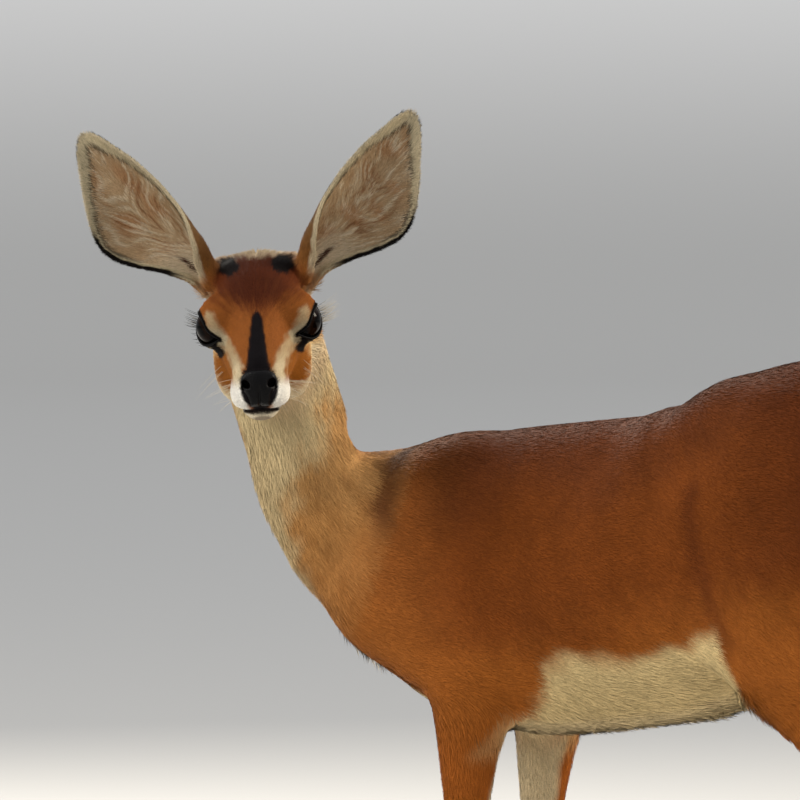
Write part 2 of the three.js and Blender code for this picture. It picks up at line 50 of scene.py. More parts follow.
# The animal's sizes, as in the part
WITHERS, LOIN, CROUP, GIRTH_FLOOR = 512.0, 541.0, 576.0, 303.0
TRUNK_FRONT, TRUNK_REAR, HALF_WIDTH = -258.0, 246.0, 75.0
FORE_X, HIND_X, FORE_Y, HIND_Y = -131.0, 216.0, 44.0, 50.0
HEAD_YAW, HEAD_PITCH, HEAD_ROLL = 38.0, 15.0, 4.0
HEAD_AT = (-262.0, -103.0, 578.0)
EYE_AT = (64.0, 28.4, 30.0)
EYE_RADIUS, EYE_TILT, LID_THICK = 14.2, 24.0, 1.9
EAR_AT, EAR_TIP, EAR_LENGTH = (12.0, 28.0, 45.0), (-21.0, 113.0, 147.0), 136.0
FAR = 1e3
# Where the coat's pieces and the legs' marks begin and end, and how thickly each piece grows
LEG_TOP, BETWEEN_LEGS, HOOF_CROWN, RUMP_FRONT, CHEST_BACK, BREAST_FRONT = 300, 30, 13, 92, -100, -190
COVER = {"head": 2.4, "ear": 3.2, "neck": 3.1, "leg_front": 2.2, "leg_hind": 2.2}
MOST_TUFTS = {"head": 65000}
COVER_ELSEWHERE, MOST_ELSEWHERE = 3.3, 54000
# The skin under the coat lies in its shade
SKIN_SHADE = 0.86


def unit(v):
    v = np.asarray(v, float)
    return v / np.linalg.norm(v, axis=-1, keepdims=True).clip(1e-9)


def turn(axis, degrees):
    return np.array(Matrix.Rotation(math.radians(degrees), 3, axis))


# The head's own frame: x to the muzzle, y to her left, z up, from where the skull meets the neck
HEAD_TURN = turn("Z", HEAD_YAW - 90) @ turn("Y", HEAD_PITCH) @ turn("X", HEAD_ROLL)


def measured(rows, x, y, z):
    """Places as measured along three directions, for grids of any shape."""
    return tuple(row[0] * x + row[1] * y + row[2] * z for row in rows)


def to_head(x, y, z):
    return measured(HEAD_TURN.T, x - HEAD_AT[0], y - HEAD_AT[1], z - HEAD_AT[2])


def from_head(p):
    return np.asarray(p, float) @ HEAD_TURN.T + HEAD_AT


# One ear's frame, for the left side: x to the outer edge, y out of the open side, z along the leaf
EAR_ALONG = unit(np.subtract(EAR_TIP, EAR_AT))
EAR_OPEN = np.array((1, 0.18, 0.06))
EAR_OPEN = unit(EAR_OPEN - EAR_OPEN @ EAR_ALONG * EAR_ALONG)
EAR_TURN = np.stack([np.cross(EAR_ALONG, EAR_OPEN), EAR_OPEN, EAR_ALONG])
# One eye's frame, for the left side: x forward along the opening, y up, z out along the gaze
LOOK = unit((0.5, 1, 0.08))
EYE_FORWARD = np.array((1, 0, -math.tan(math.radians(EYE_TILT))))
EYE_FORWARD = unit(EYE_FORWARD - EYE_FORWARD @ LOOK * LOOK)
EYE_TURN = np.stack([EYE_FORWARD, np.cross(LOOK, EYE_FORWARD), LOOK])


def in_frame(rows, at, hx, hy, hz):
    """Head places as seen in an eye's or ear's frame, with both sides folded onto the left."""
    return measured(rows, hx - at[0], np.abs(hy) - at[1], hz - at[2])


# Distance fields, negative inside
def mass(at, size, lean=0.0):
    c, s = math.cos(math.radians(lean)), math.sin(math.radians(lean))
    a, b, e = size

    def field(x, y, z):
        dx, dy, dz = x - at[0], y - at[1], z - at[2]
        across, rise = c * dx - s * dz, s * dx + c * dz
        near = np.sqrt((across / a) ** 2 + (dy / b) ** 2 + (rise / e) ** 2)
        slope = np.sqrt((across / a**2) ** 2 + (dy / b**2) ** 2 + (rise / e**2) ** 2)
        return near * (near - 1) / (slope + 1e-6)

    return field


def muscle(start, end, radii, narrow=1.0):
    way = np.subtract(end, start)
    length2 = float(way @ way)

    def field(x, y, z):
        px, py, pz = x - start[0], y - start[1], z - start[2]
        t = np.clip((px * way[0] + py * way[1] + pz * way[2]) / length2, 0, 1)
        off = np.sqrt(
            (px - t * way[0]) ** 2 + ((py - t * way[1]) / narrow) ** 2 + (pz - t * way[2]) ** 2
        )
        return (off - (radii[0] + (radii[1] - radii[0]) * t)) * narrow

    return field


def paired(field):
    return lambda x, y, z: field(x, np.abs(y), z)


def fillet(a, b, soft):
    h = np.maximum(soft - np.abs(a - b), 0) / soft
    return np.minimum(a, b) - h * h * (soft / 4)


def blended(soft, fields, x, y, z):
    d = fields[0](x, y, z)
    for field in fields[1:]:
        d = fillet(d, field(x, y, z), soft)
    return d


TRUNK = [
    mass((-95, 0, (WITHERS + GIRTH_FLOOR) / 2), (138, HALF_WIDTH - 9, (WITHERS - GIRTH_FLOOR) / 2 - 1)),
    mass((4, 0, 413), (133, HALF_WIDTH - 1, 97)),
    muscle((-160, 0, WITHERS - 45), (62, 0, LOIN - 50), (39, 48)),
    mass((144, 0, CROUP - 90), (100, HALF_WIDTH - 9, 86)),
    mass((TRUNK_REAR - 50, 0, 434), (45, 44, 92)),
    mass((TRUNK_FRONT + 62, 0, 398), (50, 41, 74), -28),
    muscle((-190, -6, 430), (-233, -32, 434), (50, 49), 0.95),
    muscle((-165, 0, 466), (-216, -20, 462), (38, 35)),
    paired(muscle((-152, 34, 474), (-200, 44, 398), (25, 31), 0.8)),
    paired(muscle((-198, 44, 398), (-128, 45, 344), (30, 28), 0.8)),
    paired(mass((160, 50, 448), (80, 32, 98), 14)),
    paired(muscle((160, 55, 415), (163, 59, 362), (44, 28), 0.72)),
    paired(muscle((TRUNK_REAR - 38, 30, 496), (198, 48, 396), (34, 30), 0.8)),
    paired(muscle((66, 58, 394), (124, 58, 362), (12, 18), 0.6)),
    paired(mass((113, 34, CROUP - 51), (56, 27, 29))),
    paired(muscle((20, 40, 446), (116, 46, 466), (30, 38), 0.8)),
    paired(muscle((38, 18, LOIN - 47), (84, 27, CROUP - 58), (36, 22.5))),
]
HEAD = [
    mass((18, 0, 32), (36, 33, 31)),
    mass((48, 0, 35), (34, 30, 28)),
    muscle((56, 0, 33), (133, 0, 17), (24.5, 13.5), 0.95),
    paired(muscle((64, 12, 14), (128, 8, 7), (20, 12.5), 0.8)),
    mass((130, 0, 6), (22, 16.8, 17)),
    muscle((24, 0, -2), (126, 0, -6), (25, 9), 0.98),
    paired(mass((38, 15, 1), (32, 19, 29))),
    paired(mass((63, 24.5, 33), (22, 15.5, 19))),
    paired(mass((132, 9.2, -1), (17, 9.8, 8.5))),
    mass((126, 0, -12), (14, 9.5, 7)),
    paired(mass((8, 23, 46), (20, 16, 16))),
    mass((20, 0, 51), (24, 26, 15)),
    mass((36, 0, 44), (28, 27, 21)),
    paired(mass((34, 19, -16), (24, 12, 16))),
    muscle((2, 21, 2), (-14, 34, -60), (20, 19), 0.96),  # skin bunched by the turn of the head
]
# Stations down a limb, the tail or the neck: place, radius fore and aft, radius to the side
NECK = [
    (-196, -6, 430, 40, 30), (-218, -18, 438, 50, 38), (-240, -38, 450, 50, 42),
    (-254, -56, 474, 42.5, 39.5), (-260, -69, 506, 38, 36.5), (-264, -82, 538, 36, 35.5),
    (-265, -95, 566, 35, 35), (-259, -109, 590, 31, 30), (-250, -121, 606, 20, 21),
]
TAIL = [
    (TRUNK_REAR - 34, 0, 522, 9, 10), (TRUNK_REAR - 10, 0, 527, 9, 11), (TRUNK_REAR + 7, 0, 518, 8.5, 12),
    (TRUNK_REAR + 15, 0, 500, 7.5, 12), (TRUNK_REAR + 19, 0, 475.5, 5.5, 9), (TRUNK_REAR + 20, 0, 460, 2, 3),
]


def foot(x, y, cannon, fetlock, side_fetlock):
    """The lower leg's stations, which all four legs share but for their thickness."""
    return [
        (x - 3, y, 66, fetlock, side_fetlock), (x - 11, y, 48, cannon + 0.5, cannon + 1.2),
        (x - 17, y, 34, 10, 10.8), (x - 20, y, 24, 10.6, 10.8), (x - 22, y, 15, 8.5, 8.6),
    ]


FORELEG = [
    (-130, FORE_Y - 4, 356, 20, 15), (-127, FORE_Y, 322, 27, 21), (-129, FORE_Y, 292, 23, 17.5),
    (-131, FORE_Y - 1, 258, 17.5, 14.2), (-133, FORE_Y - 2, 224, 13.2, 11.8),
    (-134, FORE_Y - 2, 203, 12.8, 12), (-135, FORE_Y - 3, 188, 13.4, 12.6),
    (-133, FORE_Y - 3, 170, 10.6, 10.2), (FORE_X, FORE_Y - 3, 142, 8.7, 8.2),
    (FORE_X, FORE_Y - 4, 102, 8.3, 8), (FORE_X - 1, FORE_Y - 4, 80, 10, 9.2),
] + foot(FORE_X, FORE_Y - 4, 8.3, 11.4, 10.6)
HINDLEG = [
    (166, HIND_Y + 2, 400, 40, 18), (170, HIND_Y + 7, 358, 43, 25), (186, HIND_Y + 7, 322, 26, 22),
    (203, HIND_Y + 5, 292, 19, 17), (218, HIND_Y + 2, 262, 15.5, 13.6), (231, HIND_Y, 240, 14.4, 11.6),
    (238, HIND_Y - 1, 222, 15.6, 12), (236, HIND_Y - 1, 203, 12.4, 10.8),
    (231, HIND_Y - 2, 182, 9.8, 9), (HIND_X + 9, HIND_Y - 3, 140, 8.6, 8),
    (HIND_X + 2, HIND_Y - 4, 98, 8.6, 8.1), (HIND_X, HIND_Y - 4, 80, 10.2, 9.4),
] + foot(HIND_X, HIND_Y - 4, 8.5, 11.8, 10.8)


def spline(points, count, centripetal=True):
    """A Catmull-Rom curve through the points, as count places."""
    points = np.asarray(points, float)
    last = len(points) - 1
    out = []
    for t in np.linspace(0, last, count):
        i = min(int(t), last - 1)
        w = t - i
        p1, p2 = points[i], points[i + 1]
        if centripetal:
            p0 = points[i - 1] if i else 2 * p1 - p2
            p3 = points[i + 2] if i + 2 <= last else 2 * p2 - p1
            steps = np.diff([p0, p1, p2, p3], axis=0)
            t0, t1, t2 = (max(np.linalg.norm(step), 1e-4) ** 0.5 for step in steps)
            m1 = ((p1 - p0) / t0 - (p2 - p0) / (t0 + t1) + (p2 - p1) / t1) * t1
            m2 = ((p2 - p1) / t1 - (p3 - p1) / (t1 + t2) + (p3 - p2) / t2) * t1
        else:
            p0, p3 = points[max(i - 1, 0)], points[min(i + 2, last)]
            m1, m2 = (p2 - p0) / 2, (p3 - p1) / 2
        out.append(p1 + m1 * w + (3 * (p2 - p1) - 2 * m1 - m2) * w**2 + (2 * (p1 - p2) + m1 + m2) * w**3)
    return np.array(out)


def on_side(stations, side):
    return [(x, y * side, z, deep, wide) for x, y, z, deep, wide in stations]


def limb(stations, count):
    """Centres, directions and radii down a limb."""
    centre = spline([s[:3] for s in stations], count)
    radii = spline([s[3:] for s in stations], count, centripetal=False)
    along = unit(np.gradient(centre, axis=0))
    side = unit(np.array((0, 1, 0)) - along * along[:, 1:2])
    return centre, along, side, np.cross(side, along), radii


# Eyelid opening, in the eye's frame
def bezier(*points):
    t, n = np.linspace(0, 1, 24)[:, None], len(points) - 1
    return sum(math.comb(n, k) * t**k * (1 - t) ** (n - k) * np.array(p, float) for k, p in enumerate(points))


LONG = 15.5
LID_TOP = np.concatenate([
    bezier((-LONG, 0), (-0.7 * LONG, 12.3), (0.2 * LONG, 15.6), (0.72 * LONG, 6.3)),
    bezier((0.72 * LONG, 6.3), (0.95 * LONG, 2), (1.14 * LONG, -4.2))[1:],
])
LID_LOW = np.concatenate([
    bezier((-LONG, 0), (-0.65 * LONG, -9), (0.1 * LONG, -10.5), (0.5 * LONG, -6.5)),
    bezier((0.5 * LONG, -6.5), (0.78 * LONG, -5), (1.14 * LONG, -4.2))[1:],
])


def opening(x, y):
    """How far a place lies outside the lids' edge, as seen along the gaze."""
    top, low = np.interp(x, *LID_TOP.T), np.interp(x, *LID_LOW.T)
    past = np.maximum(np.maximum(-LONG - x, x - 1.14 * LONG), 0)
    gap = np.maximum(y - top, low - y)
    return np.where(past > 0, np.hypot(np.maximum(gap, 0), past), gap)


# The ear as a rolled leaf: how it changes from root to tip
EAR_SHARE = (0, 0.1, 0.2, 0.34, 0.46, 0.58, 0.73, 0.85, 0.94, 0.985, 1)
EAR_SHAPE = {
    "half": (11, 13, 20, 28.5, 32, 31, 24.5, 17, 11, 6.5, 3),
    "roll": (150, 124, 96, 75, 66, 60, 55, 52, 48, 45, 45),
    "thick": (5, 4.6, 4, 3.4, 3.2, 3, 2.8, 2.6, 2.5, 2.4, 2.4),
    "shift": (0, -0.5, 1, 5.5, 7.5, 7.2, 4.6, 2.6, 1, 0, 0),
    "twist": (46, 42, 30, 12, 2, 0, 0, 0, 0, 0, 0),
}
EAR_CURVES = {k: spline(list(zip(EAR_SHARE, v)), 160, centripetal=False) for k, v in EAR_SHAPE.items()}


def ear_sheet(x, y, z):
    """Distance to the ear's leaf, the turn round it as a share of its half width, and the inner side."""
    share = np.clip(z / EAR_LENGTH, 0, 1)
    half, roll, thick, shift, twist = (np.interp(share, *EAR_CURVES[k].T) for k in EAR_SHAPE)
    roll = np.radians(roll)
    radius = half / np.sin(np.minimum(roll, math.pi / 2))
    angle = np.arctan2(x - shift, radius - y) + np.radians(twist)
    angle = (angle + math.pi) % (2 * math.pi) - math.pi
    off = np.hypot(x - shift, radius - y) - (radius - thick / 2)
    past = np.maximum(np.abs(angle) - roll, 0) * radius
    beyond = np.maximum(np.maximum(-z, z - EAR_LENGTH), 0)
    rim = 1 - 0.3 * np.minimum(np.abs(angle) / roll, 1) ** 4
    edge = np.maximum(thick * rim, 2.7) / 2
    return np.sqrt(off**2 + past**2 + beyond**2) - edge, angle / roll, off < 0


# How a line of places is spread along each axis of a grid
AXES = ((-1, 1, 1), (1, -1, 1), (1, 1, -1))


class Clay:
    """Distances on a grid of lines that lie closer together round the head."""

    def __init__(self, lines):
        self.lines = [np.asarray(line, np.float32) for line in lines]
        self.d = np.full([len(line) for line in self.lines], FAR, np.float32)

    def window(self, low, high):
        part = tuple(
            slice(max(np.searchsorted(line, a) - 1, 0), np.searchsorted(line, b) + 1)
            for line, a, b in zip(self.lines, low, high)
        )
        return part, *(line[s].reshape(shape) for line, s, shape in zip(self.lines, part, AXES))

    def join(self, part, field, soft):
        self.d[part] = fillet(self.d[part], field.astype(np.float32), soft)

    def join_limb(self, stations, count, coat, soft):
        """Joins a chain of elliptical lengths, each worked out only near itself."""
        centre, along, side, fore, radii = limb(stations, count)
        room = radii.max() + soft + 8
        whole, *_ = self.window(centre.min(0) - room, centre.max(0) + room)
        start = [s.start for s in whole]
        chain = np.full(self.d[whole].shape, FAR, np.float32)
        for i in range(count - 1):
            a, b = centre[i], centre[i + 1]
            room = radii[i].max() + soft + 6
            part, x, y, z = self.window(np.minimum(a, b) - room, np.maximum(a, b) + room)
            way = b - a
            px, py, pz = x - a[0], y - a[1], z - a[2]
            t = np.clip((px * way[0] + py * way[1] + pz * way[2]) / float(way @ way), 0, 1)
            px, py, pz = px - t * way[0], py - t * way[1], pz - t * way[2]
            deep = radii[i, 0] + (radii[i + 1, 0] - radii[i, 0]) * t - coat
            wide = radii[i, 1] + (radii[i + 1, 1] - radii[i, 1]) * t - coat
            f, s, u = (px * v[0] + py * v[1] + pz * v[2] for v in (fore[i], side[i], along[i]))
            near = np.sqrt((f / deep) ** 2 + (s / wide) ** 2 + (u / wide) ** 2)
            slope = np.sqrt((f / deep**2) ** 2 + (s / wide**2) ** 2 + (u / wide**2) ** 2)
            here = tuple(slice(p.start - o, p.stop - o) for p, o in zip(part, start))
            view = chain[here]
            fit = tuple(slice(0, n) for n in view.shape)
            np.minimum(view, (near * (near - 1) / (slope + 1e-6))[fit], out=view)
        self.join(whole, chain, soft)

    def skin(self):
        """The surface where the distance is nought, as points and four-sided faces."""
        inside = self.d < 0
        count = inside.astype(np.uint8)
        count = count[:-1] + count[1:]
        count = count[:, :-1] + count[:, 1:]
        count = count[:, :, :-1] + count[:, :, 1:]
        cells = np.nonzero((count > 0) & (count < 8))
        index = np.full(count.shape, -1, np.int32)
        index[cells] = np.arange(len(cells[0]), dtype=np.int32)
        total, hits = np.zeros((len(cells[0]), 3)), np.zeros(len(cells[0]))
        corner = {}
        for c in np.ndindex(2, 2, 2):
            corner[c] = self.d[tuple(cell + k for cell, k in zip(cells, c))].astype(float)
        for axis in range(3):
            for c in corner:
                if c[axis]:
                    continue
                far_end = tuple(1 if i == axis else k for i, k in enumerate(c))
                a, b = corner[c], corner[far_end]
                cut = (a < 0) != (b < 0)
                t = np.where(cut, a / np.where(cut, a - b, 1), 0)
                for i in range(3):
                    line = self.lines[i]
                    place = line[cells[i] + c[i]].astype(float)
                    if i == axis:
                        place += t * (line[cells[i] + 1] - line[cells[i]])
                    total[:, i] += np.where(cut, place, 0)
                hits += cut
        points = total / hits[:, None]
        faces = []
        for axis in range(3):
            u, v = (axis + 1) % 3, (axis + 2) % 3
            low, high = [slice(None)] * 3, [slice(None)] * 3
            low[axis], high[axis] = slice(0, -1), slice(1, None)
            edge = np.nonzero(inside[tuple(low)] != inside[tuple(high)])
            solid_low = inside[tuple(low)][edge]
            ring = []
            for du, dv in ((-1, -1), (0, -1), (0, 0), (-1, 0)):
                at = list(edge)
                at[u], at[v] = at[u] + du, at[v] + dv
                ring.append(index[tuple(at)])
            ring = np.stack(ring, 1)
            faces.append(np.where(solid_low[:, None], ring, ring[:, ::-1]))
        return points, np.concatenate(faces)


def lines(stops):
    """Grid lines from (place, step) stops; the step holds until the next place."""
    out = []
    for (a, step), (b, _) in zip(stops, stops[1:]):
        out.append(np.arange(a, b - 1e-6, (b - a) / round((b - a) / step)))
    return np.concatenate([*out, [stops[-1][0]]])


HEAD_STEP, BODY_STEP = 1.3, 2.4
COAT_DEPTH = {"trunk": 3.6, "neck": 3.0, "leg": 1.3, "tail": 2.0, "head": 1.1, "ear": 0.2}


def head_corners(low, high):
    """The box, in the animal's frame, round a box in the head's frame."""
    at = from_head(np.array([[(low, high)[c[i]][i] for i in range(3)] for c in np.ndindex(2, 2, 2)]))
    return at.min(0), at.max(0)


NOSE_X, NOSE_Z, NOSE_LEAN, NOSE_WIDE = 138.0, 5.5, 20.0, 12.8
NOSTRIL_TURN = math.radians(34)


def nose_frame(hx, hy, hz):
    return measured(turn("Y", NOSE_LEAN), hx - NOSE_X, hy, hz - NOSE_Z)


def nostrils(hx, hy, hz):
    """Comma-shaped holes, deep at the middle and trailing out and down the wing of the nose."""
    x, y, z = nose_frame(hx, np.abs(hy), hz)
    hole = mass((0, 0, 0), (7.5, 2.5, 3.9))
    c, s = math.cos(NOSTRIL_TURN), math.sin(NOSTRIL_TURN)
    y, z = y - 8.6, z - 3.2
    x = x - 10.5 + 0.5 * y
    main = hole(x, c * y - s * z, s * y + c * z)
    tail = muscle((0, 1.6, -2.6), (-3.4, 4.2, -4.6), (1.6, 0.7))(x, y, z)
    return fillet(main, tail, 1.6)


def mouth_line(hx):
    """Height of the line between the lips."""
    t = np.clip((hx - 100) / 48, 0, 1)
    return -6.2 - 3.4 * np.sin(math.pi * np.minimum(t, 0.8)) + 1.2 * t


def face(hx, hy, hz):
    """The head's masses with its folds and horn sites, before lids and openings are cut."""
    d = blended(9.0, HEAD, hx, hy, hz)
    side = np.abs(hy)
    lip = np.exp(-(((hz - mouth_line(hx)) / 1.5) ** 2)) * np.clip((hx - 98) / 8, 0, 1)
    gland = np.exp(-(((hx - 86) / 7.5) ** 2) - (((hz - 16.5 + 0.5 * (hx - 86)) / 2.2) ** 2)) * (side > 12)
    cleft = np.exp(-((hy / 1.1) ** 2)) * np.clip((hx - 134) / 5, 0, 1) * (hz < -2) * (hz > -9.6)
    bump = np.exp(-((hx - 30) ** 2 + (side - 19) ** 2 + (hz - 58) ** 2) / 60)
    return d + 1.7 * lip + 1.5 * gland + 1.3 * cleft - 1.6 * bump


def lids(d, hx, hy, hz):
    x, y, z = in_frame(EYE_TURN, EYE_AT, hx, hy, hz)
    away = np.sqrt(x**2 + y**2 + z**2)
    d = fillet(d, away - (EYE_RADIUS + LID_THICK), 5.0)
    gap = opening(x, y)
    crease = np.exp(-(((gap - 4.6) / 1.3) ** 2)) * (z > 0) * np.clip((y + 6) / 8, 0.25, 1)
    d = d + 0.9 * crease
    d = np.maximum(d, -np.maximum(gap, -z))
    return np.maximum(d, EYE_RADIUS + 0.25 - away)


def sculpt():
    clay = Clay([
        lines([(-362, HEAD_STEP), (-190, 1.8), (-150, BODY_STEP), (286, BODY_STEP)]),
        lines([(-236, HEAD_STEP), (98, HEAD_STEP)]),
        lines([(4, BODY_STEP), (470, 1.8), (545, HEAD_STEP), (744, HEAD_STEP)]),
    ])
    part, x, y, z = clay.window((TRUNK_FRONT - 44, -112, 280), (TRUNK_REAR + 20, 112, 600))
    clay.join(part, blended(32.0, TRUNK, x, y, z) + COAT_DEPTH["trunk"], 1.0)
    for side in (-1, 1):
        clay.join_limb(on_side(FORELEG, side), 56, COAT_DEPTH["leg"], 15.0)
        clay.join_limb(on_side(HINDLEG, side), 64, COAT_DEPTH["leg"], 18.0)
    clay.join_limb(TAIL, 16, COAT_DEPTH["tail"], 7.0)
    clay.join_limb(NECK, 34, COAT_DEPTH["neck"], 14.0)
    part, x, y, z = clay.window(*head_corners((-32, -66, -50), (166, 66, 84)))
    h = to_head(x, y, z)
    clay.join(part, face(*h) + COAT_DEPTH["head"], 9.0)
    for side in (-1, 1):
        corners = np.array([
            np.array(EAR_AT) + np.array(((-46, 46)[c[0]], (-14, 60)[c[1]], (-10, 142)[c[2]])) @ EAR_TURN
            for c in np.ndindex(2, 2, 2)
        ]) * (1, side, 1)
        at = from_head(corners)
        ear_part, x, y, z = clay.window(at.min(0), at.max(0))
        hx, hy, hz = to_head(x, y, z)
        leaf, _, _ = ear_sheet(*in_frame(EAR_TURN, EAR_AT, hx, hy, hz))
        leaf = np.where(hy * side > 0, leaf, FAR)
        clay.join(ear_part, leaf + COAT_DEPTH["ear"], 4.5)
    cut = lids(clay.d[part], *h)
    clay.d[part] = np.maximum(cut, -nostrils(*h))
    return clay.skin()


# Meshes
SHIFT = np.array((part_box("eye_left")[0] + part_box("eye_left")[1]) / 2) - from_head(EYE_AT) * MM


def mesh_object(name, points, faces):
    """A mesh object from millimetre points and faces of equal size."""
    points = np.asarray(points, float) * MM + SHIFT
    faces = np.asarray(faces, np.int32)
    mesh = bpy.data.meshes.new(name)
    mesh.vertices.add(len(points))
    mesh.vertices.foreach_set("co", points.astype(np.float32).ravel())
    mesh.loops.add(faces.size)
    mesh.loops.foreach_set("vertex_index", faces.ravel())
    mesh.polygons.add(len(faces))
    mesh.polygons.foreach_set("loop_start", np.arange(0, faces.size, faces.shape[1], dtype=np.int32))
    mesh.update(calc_edges=True)
    mesh.validate()
    mesh.polygons.foreach_set("use_smooth", np.ones(len(mesh.polygons), bool))
    obj = bpy.data.objects.new(name, mesh)
    bpy.context.scene.collection.objects.link(obj)
    return obj


def between_rings(rings, around, closed=False):
    """Four-sided faces between rings of points, and from the last ring to the first if closed."""
    i, j = np.divmod(np.arange((rings - 1 + closed) * around), around)
    after, beside = (i + 1) % rings * around, (j + 1) % around
    return np.stack([i * around + j, after + j, after + beside, i * around + beside], 1)


def halved(quads):
    """Each four-sided face as two triangles, turned to face the other way."""
    return quads[:, [0, 3, 2, 0, 2, 1]].reshape(-1, 3)


def paint_points(obj, colours):
    layer = obj.data.color_attributes.new("coat", "FLOAT_COLOR", "POINT")
    full = np.ones((len(colours), 4), np.float32)
    full[:, :3] = colours
    layer.data.foreach_set("color", full.ravel())


def normals_of(points, faces):
    n = np.zeros_like(points)
    face = np.cross(points[faces[:, 2]] - points[faces[:, 0]], points[faces[:, 3]] - points[faces[:, 1]])
    for k in range(4):
        np.add.at(n, faces[:, k], face)
    return unit(n)


def relax(points, faces, rounds, share):
    """Evens the skin out a little by moving each point towards its neighbours."""
    for _ in range(rounds):
        total, count = np.zeros_like(points), np.zeros(len(points))
        for k in range(4):
            for step in (1, 3):
                np.add.at(total, faces[:, k], points[faces[:, (k + step) % 4]])
            np.add.at(count, faces[:, k], 2)
        points = points + (total / count[:, None] - points) * share
    return points


# Where a place on the skin belongs, and its measures in the ear's, eye's and neck's own terms
NECK_LINE = limb(NECK, 34)
THROAT_TURN = ((390, 430, 467, 508, 545, 580), (185, 205, 228, 275, 300, 308))


def ramp(x, low, high):
    t = np.clip((x - low) / (high - low), 0, 1)
    return t * t * (3 - 2 * t)


def wander(p, size, seed):
    """Smooth noise, mostly from -1 to 1, with waves about size millimetres long."""
    draw = np.random.default_rng(seed)
    total = 0
    for _ in range(6):
        wave = unit(draw.normal(size=3)) * 2 * math.pi / size * draw.uniform(0.7, 1.5)
        total = total + np.sin(p @ wave + draw.uniform(0, 2 * math.pi))
    return total / 2.6


def survey(p):
    at = {"p": p, "x": p[:, 0], "y": p[:, 1], "z": p[:, 2]}
    hx, hy, hz = to_head(*p.T)
    at.update(hx=hx, hy=hy, hz=hz, side=np.abs(hy))
    at["face_high"] = 0.954 * hz - 0.292 * hx
    ex, ey, ez = in_frame(EAR_TURN, EAR_AT, hx, hy, hz)
    leaf, turned, inner = ear_sheet(ex, ey, ez)
    at["share"] = np.clip(ez / EAR_LENGTH, 0, 1)
    at["turned"], at["cup"] = turned, inner
    at["ear"] = ramp(leaf, 3.4, 1.2) * ramp(ez, 2, 12)
    gx, gy, gz = in_frame(EYE_TURN, EYE_AT, hx, hy, hz)
    at["lid_gap"] = np.where(gz > -2, opening(gx, gy), 99)
    at["eye_x"], at["eye_y"] = gx, gy
    centre, along, _, _, radii = NECK_LINE
    nearest = nearest_station(p, centre)
    off = p - centre[nearest]
    at["neck_way"] = -along[nearest]
    throat = np.radians(np.interp(p[:, 2], *THROAT_TURN))
    bearing = np.arctan2(off[:, 1], off[:, 0])
    at["from_throat"] = np.degrees(np.abs((bearing - throat + math.pi) % (2 * math.pi) - math.pi))
    near_head = (hx > -40) & (hz > -62) & ((np.abs(hy) < 64) | (hz > 34))
    at["head"] = ramp(0.8 * (hx - 2) + 0.6 * (hz - 10), -22, 6) * near_head
    reach = np.sqrt((off**2).sum(1)) / radii[nearest].mean(1)
    at["neck"] = (1 - at["head"]) * ramp(reach, 2.2, 1.35) * ramp(nearest, 2, 11) * ramp(p[:, 0], -120, -190)
    return at


def nearest_station(p, centre):
    best, index = np.full(len(p), 1e12), np.zeros(len(p), int)
    for i, c in enumerate(centre):
        d = ((p - c) ** 2).sum(1)
        closer = d < best
        best[closer], index[closer] = d[closer], i
    return index


def tone(code):
    """A colour from its six hex digits, as the light it sends back."""
    v = np.array([int(code[i : i + 2], 16) / 255 for i in (0, 2, 4)])
    return np.where(v <= 0.04045, v / 12.92, ((v + 0.055) / 1.055) ** 2.4)


def mix(a, b, share):
    """Values a where the share is nought and b where it is one."""
    return a + (np.asarray(b, float) - a) * np.clip(share, 0, 1)[:, None]


def painted(base, *layers):
    """A base colour with others laid over it in turn, each a code and its share at every place."""
    colour = tone(base) if isinstance(base, str) else base
    for code, share in zip(layers[::2], layers[1::2]):
        colour = mix(colour, tone(code), share)
    return colour


# Lines along the trunk's side, as heights over x
BACK_LINE = (
    (-258, -200, -150, -100, 0, 50, 108, 150, 200, 246),
    (470, 500, 508, 512, 528, 541, 565, 576, 570, 540),
)
BELLY_LINE = (
    (-258, -200, -150, -95, 0, 33, 75, 110, 160, 246),
    (385, 350, 318, 303, 312, 318, 331, 345, 345, 360),
)
PALE_EDGE = (
    (-150, -118, -97, -78, -66, -56, -44, 27, 68, 86, 98, 108, 120, 140, 190),
    (262, 290, 315, 327, 340, 354, 362, 366, 376, 383, 386, 380, 366, 350, 340),
)
# The fold before the thigh as places, along which shade is painted, then the thigh's front and the seat's
# half width over heights
FLANK_FOLD = ((76, 480), (82, 440), (94, 405), (108, 380))
THIGH_FRONT = ((290, 322, 344, 371, 400), (160, 139, 121, 103, 96))
SEAT_HALF = ((350, 400, 450, 490, 520), (34, 26, 25, 23, 14))
BLACK = "14100e"


def tail_share(at):
    """Where the skin is the tail's, or the trunk's just beside its root."""
    return ramp(at["x"], TRUNK_REAR - 4, TRUNK_REAR + 4) * ramp(at["z"], 452, 460)


def temple_share(at):
    """Where the pale puff of hair lies, below the root of the ear."""
    return ramp(np.sqrt((at["hx"] - 16) ** 2 + (at["side"] - 40) ** 2 + (at["hz"] - 32) ** 2), 19, 7)


def near_path(v, q, stops):
    """Distance in a plane from a bent line."""
    best = np.full(len(v), 1e9)
    for (v0, q0), (v1, q1) in zip(stops, stops[1:]):
        dv, dq = v1 - v0, q1 - q0
        t = np.clip(((v - v0) * dv + (q - q0) * dq) / (dv * dv + dq * dq), 0, 1)
        best = np.minimum(best, np.hypot(v - v0 - t * dv, q - q0 - t * dq))
    return best


